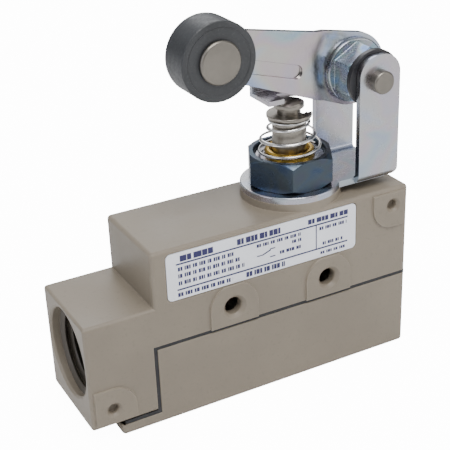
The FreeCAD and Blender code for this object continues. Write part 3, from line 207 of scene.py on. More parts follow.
def mix_colour(tree, factor, first, second, blend="MIX"):
    node = tree.nodes.new("ShaderNodeMix")
    node.data_type = "RGBA"
    node.blend_type = blend
    for label, value in (("Factor", factor), ("A", first), ("B", second)):
        kind = "VALUE" if label == "Factor" else "RGBA"
        socket = next(s for s in node.inputs if s.name == label and s.type == kind)
        feed(tree, socket, value)
    return next(s for s in node.outputs if s.type == "RGBA")


def build_orange_peel():
    """Fine height and slow tone of sprayed enamel or moulded resin."""
    tree, source, sink = node_group(
        "orange_peel",
        [("Vector", "NodeSocketVector", (0, 0, 0)), ("Scale", "NodeSocketFloat", 900.0)],
        [("Height", "NodeSocketFloat"), ("Tone", "NodeSocketFloat"),
         ("Speckle", "NodeSocketFloat")])
    vector, scale = source.outputs["Vector"], source.outputs["Scale"]
    fine = noise(tree, vector, scale, 2.0)
    broad = noise(tree, vector, math_node(tree, "MULTIPLY", scale, 0.32), 2.0)
    blend = math_node(tree, "ADD", math_node(tree, "MULTIPLY", fine, 0.6),
                      math_node(tree, "MULTIPLY", broad, 0.4))
    tree.links.new(blend, sink.inputs["Height"])
    slow = noise(tree, vector, math_node(tree, "MULTIPLY", scale, 0.035), 4.0)
    tree.links.new(map_range(tree, slow, 0.3, 0.7), sink.inputs["Tone"])
    spots = noise(tree, vector, math_node(tree, "MULTIPLY", scale, 0.8), 1.0)
    tree.links.new(map_range(tree, spots, 0.60, 0.72), sink.inputs["Speckle"])
    return tree


PASSIVATION = ((0.30, (0.42, 0.58, 1.00)), (0.42, (0.86, 0.95, 1.00)),
               (0.50, (1.00, 0.94, 0.66)), (0.57, (1.00, 0.74, 0.88)),
               (0.66, (0.66, 1.00, 0.84)), (0.75, (0.50, 0.60, 1.00)))


def build_passivate():
    """Bands of blue, pink and yellow that lie over bright zinc plating."""
    tree, source, sink = node_group(
        "passivate",
        [("Vector", "NodeSocketVector", (0, 0, 0)), ("Scale", "NodeSocketFloat", 70.0),
         ("Plate", "NodeSocketColor", (0.7, 0.7, 0.7, 1)), ("Amount", "NodeSocketFloat", 0.5)],
        [("Color", "NodeSocketColor"), ("Cloud", "NodeSocketFloat")])
    vector, scale = source.outputs["Vector"], source.outputs["Scale"]
    cloud = noise(tree, vector, scale, 2.0, 0.5, 0.8)
    ramp = tree.nodes.new("ShaderNodeValToRGB")
    ramp.color_ramp.interpolation = "B_SPLINE"
    ramp.color_ramp.elements[0].position = PASSIVATION[0][0]
    ramp.color_ramp.elements[1].position = PASSIVATION[-1][0]
    for place, _ in PASSIVATION[1:-1]:
        ramp.color_ramp.elements.new(place)
    for element, (_, tint) in zip(ramp.color_ramp.elements, PASSIVATION):
        element.color = (*tint, 1)
    tree.links.new(cloud, ramp.inputs["Fac"])
    tinted = mix_colour(tree, source.outputs["Amount"], source.outputs["Plate"],
                        ramp.outputs["Color"], "MULTIPLY")
    tree.links.new(tinted, sink.inputs["Color"])
    tree.links.new(cloud, sink.inputs["Cloud"])
    return tree


def build_drawn_lines():
    """Fine parallel marks left by rolling, drawing or turning."""
    tree, source, sink = node_group(
        "drawn_lines",
        [("Vector", "NodeSocketVector", (0, 0, 0)),
         ("Stretch", "NodeSocketVector", (300, 3000, 3000))],
        [("Height", "NodeSocketFloat")])
    scaled = tree.nodes.new("ShaderNodeVectorMath")
    scaled.operation = "MULTIPLY"
    tree.links.new(source.outputs["Vector"], scaled.inputs[0])
    tree.links.new(source.outputs["Stretch"], scaled.inputs[1])
    tree.links.new(noise(tree, scaled.outputs[0], 1.0, 2.0), sink.inputs["Height"])
    return tree


def build_painted_edge_highlight():
    """Mask of the outward edges, used to paint a highlight on them."""
    tree, source, sink = node_group(
        "painted_edge_highlight",
        [("Radius", "NodeSocketFloat", 0.0004), ("Reach", "NodeSocketFloat", 0.25)],
        [("Mask", "NodeSocketFloat")])
    rounded = tree.nodes.new("ShaderNodeBevel")
    rounded.samples = 6
    tree.links.new(source.outputs["Radius"], rounded.inputs["Radius"])
    geometry = tree.nodes.new("ShaderNodeNewGeometry")
    dot = tree.nodes.new("ShaderNodeVectorMath")
    dot.operation = "DOT_PRODUCT"
    tree.links.new(rounded.outputs["Normal"], dot.inputs[0])
    tree.links.new(geometry.outputs["Normal"], dot.inputs[1])
    turned = math_node(tree, "SUBTRACT", 1.0, dot.outputs["Value"])
    tree.links.new(map_range(tree, turned, 0.01, source.outputs["Reach"]), sink.inputs["Mask"])
    return tree


GROUPS = {"peel": build_orange_peel, "passivate": build_passivate,
          "lines": build_drawn_lines, "edge_highlight": build_painted_edge_highlight}
groups = {}


def use_group(tree, key, **values):
    """Places a shared node group, built the first time it is asked for."""
    if key not in groups:
        groups[key] = GROUPS[key]()
    node = tree.nodes.new("ShaderNodeGroup")
    node.node_tree = groups[key]
    for label, value in values.items():
        feed(tree, node.inputs[label], value)
    return node


# --- finishes ---------------------------------------------------------------
def new_material(name, **settings):
    """A material, its tree, its shader and the object coordinates it reads."""
    material = bpy.data.materials.new(name)
    material.use_nodes = True
    tree = material.node_tree
    shader = tree.nodes["Principled BSDF"]
    for label, value in settings.items():
        shader.inputs[label.replace("_", " ")].default_value = value
    place = tree.nodes.new("ShaderNodeTexCoord").outputs["Object"]
    return material, tree, shader, place


def bump(tree, shader, height, distance, strength=1.0):
    node = tree.nodes.new("ShaderNodeBump")
    node.inputs["Strength"].default_value = strength
    node.inputs["Distance"].default_value = distance
    tree.links.new(height, node.inputs["Height"])
    tree.links.new(node.outputs["Normal"], shader.inputs["Normal"])


def shade(base, factor):
    return (*(min(1.0, c * factor) for c in base), 1.0)


def enamel(name, base, edge=0.35):
    """Sprayed enamel: slight orange peel, slow mottle, specks and painted highlights on the
    edges.
    """
    material, tree, shader, place = new_material(name, Roughness=0.42, Specular_IOR_Level=0.45)
    peel = use_group(tree, "peel", Vector=place, Scale=1500.0)
    tone = mix_colour(tree, peel.outputs["Tone"], shade(base, 0.93), shade(base, 1.05))
    fleck = math_node(tree, "MULTIPLY", peel.outputs["Speckle"], 0.22)
    tone = mix_colour(tree, fleck, tone, shade(base, 0.72))
    # Painted highlight: the outward edges are lightened towards 1.75 times the enamel colour.
    edge_highlight = use_group(tree, "edge_highlight", Radius=0.0007, Reach=0.22)
    rim = math_node(tree, "MULTIPLY", edge_highlight.outputs["Mask"], edge)
    tone = mix_colour(tree, rim, tone, shade(base, 1.75))
    tree.links.new(tone, shader.inputs["Base Color"])
    rough = map_range(tree, peel.outputs["Tone"], 0.0, 1.0, 0.38, 0.48)
    tree.links.new(rough, shader.inputs["Roughness"])
    bump(tree, shader, peel.outputs["Height"], 0.00003, 0.55)
    return material


def plated(name, base, amount=0.5, scale=70.0, roughness=0.27, stretch=(400, 2600, 400),
           depth=0.000006, edge=0.3):
    """Zinc plating with its passivation colours, the sheet's rolling marks and painted
    highlights on its edges.
    """
    material, tree, shader, place = new_material(name, Metallic=1.0, Roughness=roughness)
    tint = use_group(tree, "passivate", Vector=place, Scale=scale, Plate=(*base, 1.0),
                     Amount=amount)
    # Painted highlight: the outward edges are lightened towards 1.5 times the plating colour.
    edge_highlight = use_group(tree, "edge_highlight", Radius=0.00035, Reach=0.3)
    rim = math_node(tree, "MULTIPLY", edge_highlight.outputs["Mask"], edge)
    tone = mix_colour(tree, rim, tint.outputs["Color"], shade(base, 1.5))
    tree.links.new(tone, shader.inputs["Base Color"])
    lines = use_group(tree, "lines", Vector=place, Stretch=stretch)
    haze = math_node(tree, "ADD", math_node(tree, "MULTIPLY", lines.outputs["Height"], 0.16),
                     math_node(tree, "MULTIPLY", tint.outputs["Cloud"], 0.12))
    tree.links.new(math_node(tree, "ADD", haze, roughness - 0.13), shader.inputs["Roughness"])
    bump(tree, shader, lines.outputs["Height"], depth)
    return material


def turned(name, base, roughness=0.32, stretch=(500, 500, 5000), depth=0.000006, edge=0.35):
    """Bare turned metal: rings around its axis, slightly stained, with painted highlights at the
    edges.
    """
    material, tree, shader, place = new_material(name, Metallic=1.0, Roughness=roughness)
    peel = use_group(tree, "peel", Vector=place, Scale=2600.0)
    tone = mix_colour(tree, peel.outputs["Tone"], shade(base, 0.84), shade(base, 1.08))
    # Painted highlight: the outward edges are lightened towards 1.7 times the metal colour.
    edge_highlight = use_group(tree, "edge_highlight", Radius=0.00035, Reach=0.3)
    rim = math_node(tree, "MULTIPLY", edge_highlight.outputs["Mask"], edge)
    tone = mix_colour(tree, rim, tone, shade(base, 1.7))
    tree.links.new(tone, shader.inputs["Base Color"])
    lines = use_group(tree, "lines", Vector=place, Stretch=stretch)
    rough = math_node(tree, "ADD", math_node(tree, "MULTIPLY", lines.outputs["Height"], 0.2),
                      roughness - 0.1)
    tree.links.new(rough, shader.inputs["Roughness"])
    bump(tree, shader, lines.outputs["Height"], depth)
    return material


def moulded(name, base, roughness=0.55, scale=1400.0, depth=0.00003, speck=1.6):
    """Resin, rubber or sintered material with a fine matt skin."""
    material, tree, shader, place = new_material(name, Roughness=roughness)
    peel = use_group(tree, "peel", Vector=place, Scale=scale)
    tone = mix_colour(tree, peel.outputs["Tone"], shade(base, 0.82), shade(base, 1.15))
    fleck = math_node(tree, "MULTIPLY", peel.outputs["Speckle"], 0.45)
    tone = mix_colour(tree, fleck, tone, shade(base, speck))
    tree.links.new(tone, shader.inputs["Base Color"])
    rough = map_range(tree, peel.outputs["Height"], 0.3, 0.7, roughness - 0.08, roughness + 0.1)
    tree.links.new(rough, shader.inputs["Roughness"])
    bump(tree, shader, peel.outputs["Height"], depth, 0.6)
    return material


def printed(name, base, roughness):
    """Flat print or film with a faint unevenness."""
    material, tree, shader, place = new_material(name, Roughness=roughness)
    peel = use_group(tree, "peel", Vector=place, Scale=2200.0)
    tone = mix_colour(tree, peel.outputs["Tone"], shade(base, 0.95), shade(base, 1.03))
    tree.links.new(tone, shader.inputs["Base Color"])
    bump(tree, shader, peel.outputs["Height"], 0.000008, 0.4)
    return material


finishes = {}
BLUE_PLATING = (0.30, 0.36, 0.44)
BRIGHT_WIRE = (0.68, 0.67, 0.66)
FINE_LINES = (900, 900, 900)


def build_finishes(colours):
    """Makes every finish once, from the scene's colours."""
    zinc, dark, steel = colours.zinc, colours.dark_zinc, colours.steel
    finishes.update({
        "paint": enamel("enamel_stone_grey", colours.paint),
        "gasket": moulded("gasket_rubber", colours.black, 0.6),
        "label": printed("nameplate_white", colours.label, 0.35),
        "ink": printed("nameplate_ink", colours.ink, 0.4),
        "zinc": plated("zinc_sheet", zinc),
        "zinc_arm": plated("zinc_arm", zinc, 0.85, 60.0, 0.22, (2200, 400, 900)),
        "dark_zinc": plated("zinc_blue_black", dark, 0.6, 120.0, 0.30,
                            (500, 500, 1500), edge=0.5),
        "blue_zinc": plated("zinc_blue", BLUE_PLATING, 0.9, 150.0, 0.25,
                            (1500, 500, 1500), edge=0.6),
        "steel": turned("steel_turned", steel),
        # Painted shade: a darker copy of the steel, standing in for the dark reflections on the
        # pin ends.
        "pin_steel_shaded": turned("steel_pin_ends_shaded", shade(steel, 0.80)[:3], 0.42, FINE_LINES),
        "spring": turned("spring_wire", BRIGHT_WIRE, 0.22, FINE_LINES),
        "brass": turned("brass_turned", colours.brass, 0.25),
        "copper": turned("copper_alloy", colours.copper, 0.3),
        "black_steel": moulded("black_oxide", colours.black, 0.35, 1800.0, 0.00001),
        "seal": moulded("seal_rubber", colours.black, 0.5),
        "roller": moulded("roller_grey", colours.roller, 0.45, 2600.0, 0.000012, 1.9),
        "resin": moulded("case_resin", colours.resin, 0.45),
        # Painted shade: the enamel in the conduit thread is darkened to a third, for the shade
        # deep in the bore.
        "thread": enamel("enamel_painted_shade_in_thread", shade(colours.paint, 0.34)[:3], 0.1),
    })


# --- mesh helpers -----------------------------------------------------------
MERGE = 0.002 * MM
FLAT = math.radians(0.4)
BEVEL_SEGMENTS = 2


def finished(mesh_data, name, finish, smooth_below=35.0):
    """Turns a bmesh into a named piece with even normals and a finish."""
    mesh = bpy.data.meshes.new(name)
    mesh_data.to_mesh(mesh)
    mesh_data.free()
    mesh.shade_smooth()
    mesh.set_sharp_from_angle(angle=math.radians(smooth_below))
    piece = bpy.data.objects.new(name, mesh)
    bpy.context.scene.collection.objects.link(piece)
    even = piece.modifiers.new("even_normals", "WEIGHTED_NORMAL")
    even.keep_sharp = True
    mesh.materials.append(finishes[finish])
    return piece


def softened(node, name, width, finish, crease_from=38.0, clamped=False):
    """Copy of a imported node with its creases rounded, in place of that node."""
    shell = bmesh.new()
    shell.from_mesh(frame["nodes"][node].data)
    bmesh.ops.remove_doubles(shell, verts=shell.verts, dist=MERGE)
    bmesh.ops.dissolve_limit(shell, angle_limit=FLAT, verts=shell.verts, edges=shell.edges)
    creases = [e for e in shell.edges if len(e.link_faces) == 2
               and e.calc_face_angle(0.0) > math.radians(crease_from)]
    bmesh.ops.bevel(shell, geom=creases, offset=width, offset_type="OFFSET",
                    segments=BEVEL_SEGMENTS, profile=0.5, affect="EDGES", material=-1,
                    clamp_overlap=clamped, loop_slide=True)
    bmesh.ops.remove_doubles(shell, verts=shell.verts, dist=MERGE)
    piece = finished(shell, name, finish)
    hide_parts(node)
    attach(piece, frame["nodes"][node]["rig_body"])
    return piece


def dress(node, finish):
    """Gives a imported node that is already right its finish."""
    mesh = frame["nodes"][node].data
    mesh.materials.clear()
    mesh.materials.append(finishes[finish])


def ring_of_points(shell, points):
    """Vertices at the given points, joined in order and closed."""
    verts = [shell.verts.new(p) for p in points]
    edges = [shell.edges.new(pair) for pair in zip(verts, verts[1:] + verts[:1])]
    return verts + edges


def only_verts(geom):
    return [g for g in geom if isinstance(g, bmesh.types.BMVert)]


def closed_up(shell):
    """Merges what meets and turns every face outwards."""
    bmesh.ops.remove_doubles(shell, verts=shell.verts, dist=MERGE / 2)
    bmesh.ops.recalc_face_normals(shell, faces=shell.faces)


# --- operators --------------------------------------------------------------
class LIMITSWITCH_OT_enclosure(bpy.types.Operator):
    """Rounds and paints the housing and the wiring cover"""
    bl_idname = "limit_switch.enclosure"
    bl_label = "Enclosure"

    def execute(self, context):
        edge = context.scene.limit_switch_sizes.casting_edge
        softened("housing", "housing_casting", edge / 2, "paint")
        softened("cover", "cover_casting", edge, "paint")
        dress("cover_gasket", "gasket")
        softened("cover_screws", "cover_screw_set", edge / 2, "steel")
        return {"FINISHED"}


class LIMITSWITCH_OT_conduit_thread(bpy.types.Operator):
    """Cuts the look of a pipe thread into the conduit entry"""
    bl_idname = "limit_switch.conduit_thread"
    bl_label = "Conduit thread"

    LEAD_IN = 0.9 * MM
    RUN_OUT = 1.0 * MM
    ROOT_SINK = 0.05 * MM
    CREST_FROM, CREST_TO = 0.42, 0.58

    def execute(self, context):
        sizes = context.scene.limit_switch_sizes
        mount = next(m for m in frame["record"]["mounts"] if m["name"] == "conduit_entry")
        axis = Vector(mount["pos_m"])
        bore = mount["dims"]["r_mm"] * MM
        depth = mount["dims"]["length_mm"] * MM
        start = low("housing").x + self.LEAD_IN
        pitch = sizes.thread_pitch
        turns = math.floor((depth - self.RUN_OUT) / pitch) - 1
        crest, root = bore - sizes.thread_depth, bore + self.ROOT_SINK
        steps = sizes.turn_steps // 2
        shell = bmesh.new()
        profile = [(0.0, root), (self.CREST_FROM * pitch, crest), (self.CREST_TO * pitch, crest),
                   (pitch, root)]
        geom = ring_of_points(shell, [(start + u, axis.y, axis.z + r) for u, r in profile])
        turned_round = bmesh.ops.spin(
            shell, geom=geom, cent=axis, axis=(1, 0, 0), dvec=(pitch / steps, 0, 0),
            angle=2 * math.pi * turns, steps=steps * turns)
        for cap in (geom, turned_round["geom_last"]):
            bmesh.ops.contextual_create(shell, geom=only_verts(cap))
        bmesh.ops.recalc_face_normals(shell, faces=shell.faces)
        piece = finished(shell, "conduit_thread", "thread", 60.0)
        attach(piece, "base")
        return {"FINISHED"}


class LIMITSWITCH_OT_nameplate(bpy.types.Operator):
    """Prints the rules, dashes and contact symbol on the nameplate"""
    bl_idname = "limit_switch.nameplate"
    bl_label = "Nameplate"

    # Millimetres from the plate's lower left corner: a rule's sides, then a row's left end,
    # right end, foot, height and stroke.
    RULES = ((2.4, 47.1, 8.52, 8.88), (2.4, 47.1, 2.22, 2.58), (38.30, 38.56, 2.5, 8.6))
    ROWS = ((3.4, 12.1, 9.20, 1.45, 1.5), (17.6, 28.9, 9.25, 1.45, 0.90),
            (36.2, 47.2, 9.35, 1.20, 0.95),
            (2.8, 16.6, 6.95, 0.95, 0.42), (2.8, 18.2, 5.25, 0.95, 0.42),
            (2.8, 19.3, 3.45, 0.95, 0.42),
            (22.6, 34.2, 7.20, 0.80, 0.42), (31.9, 34.4, 5.80, 0.80, 0.42),
            (28.6, 34.4, 4.00, 0.80, 0.60),
            (39.3, 46.8, 7.10, 0.80, 0.42), (40.2, 45.8, 3.10, 0.80, 0.42),
            (2.5, 16.2, 0.65, 0.95, 0.50), (19.7, 29.9, 0.55, 1.25, 0.62),
            (39.6, 46.9, 0.80, 0.70, 0.42))
    GAP = 0.13
    WORD_GAP = 0.42
    WORDS = (3, 5, 2, 4, 6)
    INK_SINK = 0.3
    SYMBOL_PLACE = (25.0, 5.0)
    BLADE_LIFT = math.radians(20)

    def block(self, shell, x0, x1, z0, z1):
        """One printed bar, slightly sunk into the plate."""
        made = bmesh.ops.create_cube(shell, size=1.0)
        size = Vector(((x1 - x0) * MM, self.rise, (z1 - z0) * MM))
        centre = self.origin + Vector(((x0 + x1) / 2 * MM, -self.rise * self.INK_SINK,
                                       (z0 + z1) / 2 * MM))
        bmesh.ops.scale(shell, vec=size, verts=made["verts"])
        bmesh.ops.translate(shell, vec=centre, verts=made["verts"])
        return made["verts"]

    def dashes(self, shell, x0, x1, z, height, stroke):
        """A row of short blocks, grouped into words."""
        x, index, word = x0, 0, 0
        while x < x1:
            width = stroke * (1.0 + 0.35 * math.sin(2.3 * index + z))
            self.block(shell, x, min(x + width, x1), z, z + height)
            index += 1
            word += 1
            x += width + self.GAP
            if word == self.WORDS[index % len(self.WORDS)] or word > max(self.WORDS):
                x += self.WORD_GAP
                word = 0

    def symbol(self, shell, x, z):
        """A plain change-over contact: two fixed ends and a blade."""
        self.block(shell, x - 2.4, x - 0.9, z - 0.13, z + 0.13)
        self.block(shell, x + 1.0, x + 2.4, z + 0.87, z + 1.13)
        self.block(shell, x + 1.0, x + 2.4, z - 1.13, z - 0.87)
        blade = self.block(shell, x - 0.9, x + 1.35, z - 0.16, z + 0.16)
        pivot = Vector((self.origin.x + (x - 0.9) * MM, 0, self.origin.z + z * MM))
        bmesh.ops.rotate(shell, verts=blade, cent=pivot,
                         matrix=Matrix.Rotation(-self.BLADE_LIFT, 3, "Y"))

    def execute(self, context):
        self.rise = context.scene.limit_switch_sizes.ink_rise
        self.origin = low("nameplate")
        shell = bmesh.new()
        for x0, x1, z0, z1 in self.RULES:
            self.block(shell, x0, x1, z0, z1)
        for row in self.ROWS:
            self.dashes(shell, *row)
        self.symbol(shell, *self.SYMBOL_PLACE)
        piece = finished(shell, "nameplate_print", "ink")
        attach(piece, "base")
        dress("nameplate", "label")
        return {"FINISHED"}


class LIMITSWITCH_OT_return_spring(bpy.types.Operator):
    """Winds the tapered return spring with its closed end turns"""
    bl_idname = "limit_switch.return_spring"
    bl_label = "Return spring"

    CLOSED_BELOW, CLOSED_ABOVE = 0.45, 1.0
    WIDE_SHARE, NARROW_SHARE = 0.22, 0.86
    RETAINER_LIP = 0.1 * MM
    WIRE_SIDES = 12
    TOP_RISE = 1.15

    def execute(self, context):
        sizes = context.scene.limit_switch_sizes
        wire = sizes.spring_wire
        bottom, top = low("return_spring").z, high("return_spring").z
        wide = (high("return_spring").x - low("return_spring").x) / 2 - wire / 2
        narrow = (high("spring_retainer").x - low("spring_retainer").x - wire) / 2
        narrow -= self.RETAINER_LIP
        steps = sizes.turn_steps // 2
        centre = Vector((PLUNGER_AXIS.x, PLUNGER_AXIS.y, 0))
        shell = bmesh.new()
        ring = bmesh.ops.create_circle(shell, segments=self.WIRE_SIDES, radius=wire / 2)["verts"]
        bmesh.ops.rotate(shell, verts=ring, cent=(0, 0, 0),
                         matrix=Matrix.Rotation(math.radians(90), 3, "X"))
        start = centre + Vector((wide, 0, bottom + wire / 2))
        bmesh.ops.translate(shell, verts=ring, vec=start)
        geom = ring + list({e for v in ring for e in v.link_edges})
        open_turns = sizes.spring_turns - self.CLOSED_BELOW - self.CLOSED_ABOVE
        below, above = wire * self.CLOSED_BELOW, wire * self.CLOSED_ABOVE * self.TOP_RISE
        climb = top - bottom - wire - below - above
        stages = ((self.CLOSED_BELOW, below), (open_turns, climb), (self.CLOSED_ABOVE, above))
        for turns, rise in stages:
            count = max(3, round(steps * turns))
            made = bmesh.ops.spin(shell, geom=geom, cent=centre, axis=(0, 0, 1),
                                  dvec=(0, 0, rise / count), angle=2 * math.pi * turns,
                                  steps=count)
            geom = made["geom_last"]
        for cap in (ring, only_verts(geom)):
            bmesh.ops.contextual_create(shell, geom=cap)
        for vert in shell.verts:
            share = ((vert.co.z - bottom) / (top - bottom) - self.WIDE_SHARE) / (
                self.NARROW_SHARE - self.WIDE_SHARE)
            share = min(1.0, max(0.0, share))
            out = Vector((vert.co.x - centre.x, vert.co.y - centre.y, 0)).normalized()
            vert.co -= out * (wide - narrow) * share * share * (3 - 2 * share)
        closed_up(shell)
        piece = finished(shell, "return_spring_coil", "spring", 60.0)
        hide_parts("return_spring")
        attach(piece, "base")
        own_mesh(piece)
        return {"FINISHED"}


class LIMITSWITCH_OT_plunger_head(bpy.types.Operator):
    """Finishes the nut, sleeve, bushing, plunger and its retainer"""
    bl_idname = "limit_switch.plunger_head"
    bl_label = "Plunger head"

    def execute(self, context):
        edge = context.scene.limit_switch_sizes.metal_edge
        softened("head_nut", "head_nut_plated", edge, "dark_zinc")
        softened("head_sleeve", "head_sleeve_turned", edge, "zinc")
        softened("guide_bushing", "guide_bushing_turned", edge, "brass")
        softened("plunger", "plunger_turned", edge, "steel")
        softened("spring_retainer", "spring_retainer_disc", edge, "steel")
        return {"FINISHED"}


class LIMITSWITCH_OT_bracket(bpy.types.Operator):
    """Finishes the swivel bracket, the pivot pin and its clip"""
    bl_idname = "limit_switch.bracket"
    bl_label = "Bracket"

    def execute(self, context):
        edge = context.scene.limit_switch_sizes.metal_edge
        softened("bracket_yoke", "bracket_pressing", edge, "zinc", clamped=True)
        softened("pivot_pin", "pivot_pin_turned", edge, "pin_steel_shaded")
        softened("pin_clip", "pin_clip_ring", edge / 2, "steel")
        return {"FINISHED"}


class LIMITSWITCH_OT_lever(bpy.types.Operator):
    """Finishes the pressing lever, its hub, nut and washer, and the roller arm"""
    bl_idname = "limit_switch.lever"
    bl_label = "Lever"

    def execute(self, context):
        edge = context.scene.limit_switch_sizes.metal_edge
        softened("pressing_lever", "pressing_lever_plate", edge, "zinc")
        softened("hub_sleeve", "hub_sleeve_turned", edge, "steel")
        softened("hub_nut", "hub_nut_plated", edge, "blue_zinc")
        softened("spacer_washer", "spacer_washer_black", edge, "black_steel")
        softened("roller_arm", "roller_arm_pressing", edge, "zinc_arm")
        return {"FINISHED"}


class LIMITSWITCH_OT_roller(bpy.types.Operator):
    """Turns the roller with its bevelled tread, and finishes its rivet"""
    bl_idname = "limit_switch.roller"
    bl_label = "Roller"

    BORE = 3.05 * MM
    BORE_EDGE = 0.2 * MM
    HUB_WALL = 2.6 * MM
    HUB_SLOPE = 0.3 * MM
    RIM_WALL = 1.5 * MM
    RIM_SLOPE = 0.25 * MM
    DISH = 0.12 * MM
    FULL_DISH = 1.2
    NEAR, FAR = 0.12, 0.45

    def outline(self, front, back, radius, bevel):
        """Half section of the roller: distance from its axis, and place along it."""
        bore, edge, face = self.BORE, self.BORE_EDGE, front + self.DISH
        hub, rim = bore + self.HUB_WALL, radius - self.RIM_WALL
        dished = front + self.DISH * self.FULL_DISH
        near, far = bevel * self.NEAR, bevel * self.FAR
        return [(bore, front + edge), (bore + edge, face), (hub, face),
                (hub + self.HUB_SLOPE, dished), (rim, dished), (rim + self.RIM_SLOPE, front),
                (radius - bevel, front), (radius - far, front + near),
                (radius - near, front + far), (radius, front + bevel),
                (radius, back - bevel), (radius - near, back - far),
                (radius - far, back - near), (radius - bevel, back),
                (bore + edge, back), (bore, back - edge)]

    def execute(self, context):
        sizes = context.scene.limit_switch_sizes
        front, back = low("roller").y, high("roller").y
        radius = (high("roller").z - low("roller").z) / 2
        section = self.outline(front, back, radius, sizes.roller_edge)
        shell = bmesh.new()
        centre = Vector((ROLLER_AXIS.x, 0, ROLLER_AXIS.z))
        geom = ring_of_points(shell, [(centre.x + r, y, centre.z) for r, y in section])
        bmesh.ops.spin(shell, geom=geom, cent=centre, axis=(0, 1, 0), angle=2 * math.pi,
                       steps=sizes.turn_steps, use_merge=True)
        closed_up(shell)
        piece = finished(shell, "roller_wheel", "roller", 28.0)
        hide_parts("roller")
        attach(piece, "wheel")
        softened("roller_pin", "roller_rivet", sizes.metal_edge, "pin_steel_shaded")
        return {"FINISHED"}


class LIMITSWITCH_OT_inner_parts(bpy.types.Operator):
    """Gives the sealed inner pieces their finishes"""
    bl_idname = "limit_switch.inner_parts"
    bl_label = "Inner parts"

    FINISHES = {"mounting_sleeves": "steel", "ground_screw": "blue_zinc", "switch_base": "resin",
                "switch_lid": "resin", "common_terminal": "brass",
                "normally_open_terminal": "brass", "normally_closed_terminal": "brass",
                "terminal_screws": "steel", "moving_blade": "copper", "switch_pin": "resin",
                "plunger_seal": "seal", "plunger_stop_ring": "steel",
                "overtravel_spring": "spring", "push_rod": "steel"}

    def execute(self, context):
        for node, finish in self.FINISHES.items():
            dress(node, finish)
        return {"FINISHED"}


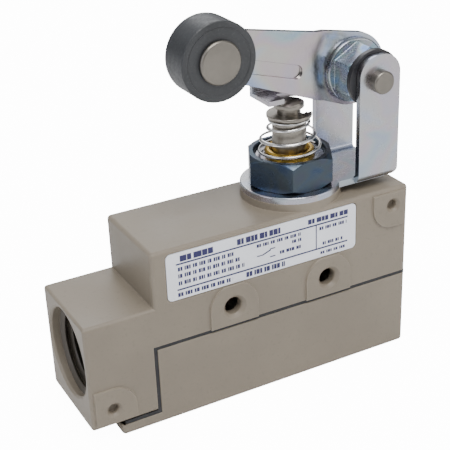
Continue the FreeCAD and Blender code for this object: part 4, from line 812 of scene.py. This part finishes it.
class LIMITSWITCH_OT_stage(bpy.types.Operator):
    """Sets the floor, the soft lights and the camera"""
    bl_idname = "limit_switch.stage"
    bl_label = "Stage"

    CAMERA_PLACE = (-0.11332, -0.2148, 0.12716)
    AZIMUTH, ELEVATION, ROLL = 27.46, 26.27, -2.37
    LENS, SENSOR = 87.77, 36.0
    AIM = (0.0, -0.012, 0.02)
    FLOOR_GLOW = 14.0
    FLOOR_RADIUS = 1.6
    ROOM_COLOUR = (0.95, 0.97, 1.0, 1.0)
    ROOM_LOW, ROOM_HIGH = 0.04, 0.80
    # Name, place, size, power and tint
    LIGHTS = (("key", (-0.05, -0.30, 0.60), 0.40, 3.6, (1.0, 0.985, 0.96)),
              ("fill", (0.50, -0.50, 0.20), 0.45, 1.3, (1.0, 0.98, 0.95)),
              ("side", (-0.55, -0.10, 0.20), 0.35, 0.8, (0.88, 0.90, 1.0)),
              ("back", (0.20, 0.50, 0.45), 0.40, 1.2, (0.97, 0.98, 1.0)))

    def floor(self, context):
        """A round sheet of pale paper that the camera sees lit from within."""
        shell = bmesh.new()
        made = bmesh.ops.create_circle(shell, cap_ends=True, segments=96,
                                       radius=self.FLOOR_RADIUS)
        bmesh.ops.translate(shell, vec=(0, 0, CAD_BOX[0][2]), verts=made["verts"])
        mesh = bpy.data.meshes.new("floor")
        shell.to_mesh(mesh)
        shell.free()
        floor = bpy.data.objects.new("floor", mesh)
        context.scene.collection.objects.link(floor)
        base = context.scene.limit_switch_colours.floor
        material, tree, shader, place = new_material("floor_paper", Roughness=0.9)
        cloud = noise(tree, place, 3.0, 1.0)
        tone = mix_colour(tree, cloud, shade(base, 0.99), shade(base, 1.0))
        tree.links.new(tone, shader.inputs["Base Color"])
        tree.links.new(tone, shader.inputs["Emission Color"])
        seen = tree.nodes.new("ShaderNodeLightPath").outputs["Is Camera Ray"]
        glow = math_node(tree, "MULTIPLY", seen, self.FLOOR_GLOW)
        tree.links.new(glow, shader.inputs["Emission Strength"])
        mesh.materials.append(material)

    def lights(self, context):
        """Four soft lamps in a room that is darker low down."""
        aim = Vector(self.AIM)
        for name, place, size, power, tint in self.LIGHTS:
            lamp = bpy.data.lights.new(name + "_light", "AREA")
            lamp.shape, lamp.size, lamp.energy, lamp.color = "DISK", size, power, tint
            holder = bpy.data.objects.new(name + "_light", lamp)
            holder.location = place
            holder.rotation_euler = (aim - Vector(place)).to_track_quat("-Z", "Y").to_euler()
            context.scene.collection.objects.link(holder)
        world = bpy.data.worlds.new("soft_room")
        world.use_nodes = True
        tree = world.node_tree
        sky = tree.nodes["Background"]
        sky.inputs["Color"].default_value = self.ROOM_COLOUR
        split = tree.nodes.new("ShaderNodeSeparateXYZ")
        direction = tree.nodes.new("ShaderNodeTexCoord").outputs["Generated"]
        tree.links.new(direction, split.inputs["Vector"])
        glow = map_range(tree, split.outputs["Z"], -0.05, 0.7, self.ROOM_LOW, self.ROOM_HIGH)
        tree.links.new(glow, sky.inputs["Strength"])
        context.scene.world = world

    def camera(self, context):
        """A long lens looking down from the front left."""
        lens = bpy.data.cameras.new("studio_camera")
        lens.sensor_width, lens.lens = self.SENSOR, self.LENS
        lens.clip_start = 0.01
        camera = bpy.data.objects.new("studio_camera", lens)
        turn = (Matrix.Rotation(math.radians(-self.AZIMUTH), 4, "Z")
                @ Matrix.Rotation(math.radians(90 - self.ELEVATION), 4, "X")
                @ Matrix.Rotation(math.radians(self.ROLL), 4, "Z"))
        camera.matrix_world = Matrix.Translation(self.CAMERA_PLACE) @ turn
        context.scene.collection.objects.link(camera)
        context.scene.camera = camera

    def execute(self, context):
        self.floor(context)
        self.lights(context)
        self.camera(context)
        return {"FINISHED"}


OPERATORS = (LIMITSWITCH_OT_enclosure, LIMITSWITCH_OT_conduit_thread, LIMITSWITCH_OT_nameplate,
             LIMITSWITCH_OT_return_spring, LIMITSWITCH_OT_plunger_head, LIMITSWITCH_OT_bracket,
             LIMITSWITCH_OT_lever, LIMITSWITCH_OT_roller, LIMITSWITCH_OT_inner_parts,
             LIMITSWITCH_OT_stage)


class LIMITSWITCH_PT_panel(bpy.types.Panel):
    """Lists the pieces and their settings"""
    bl_idname = "LIMITSWITCH_PT_panel"
    bl_label = "Limit Switch"
    bl_space_type = "VIEW_3D"
    bl_region_type = "UI"
    bl_category = "Limit Switch"

    def draw(self, context):
        for settings in (context.scene.limit_switch_sizes, context.scene.limit_switch_colours):
            box = self.layout.box()
            for name in settings.bl_rna.properties.keys():
                if name not in {"rna_type", "name"}:
                    box.prop(settings, name)
        for operator in OPERATORS:
            self.layout.operator(operator.bl_idname)


CLASSES = (LimitSwitchSizes, LimitSwitchColours) + OPERATORS + (LIMITSWITCH_PT_panel,)


def register():
    for cls in CLASSES:
        bpy.utils.register_class(cls)
    bpy.types.Scene.limit_switch_sizes = PointerProperty(type=LimitSwitchSizes)
    bpy.types.Scene.limit_switch_colours = PointerProperty(type=LimitSwitchColours)


def unregister():
    del bpy.types.Scene.limit_switch_colours
    del bpy.types.Scene.limit_switch_sizes
    for cls in reversed(CLASSES):
        bpy.utils.unregister_class(cls)


def main():
    register()
    build_finishes(bpy.context.scene.limit_switch_colours)
    for operator in OPERATORS:
        group, name = operator.bl_idname.split(".")
        getattr(getattr(bpy.ops, group), name)()


if __name__ == "__main__":
    main()
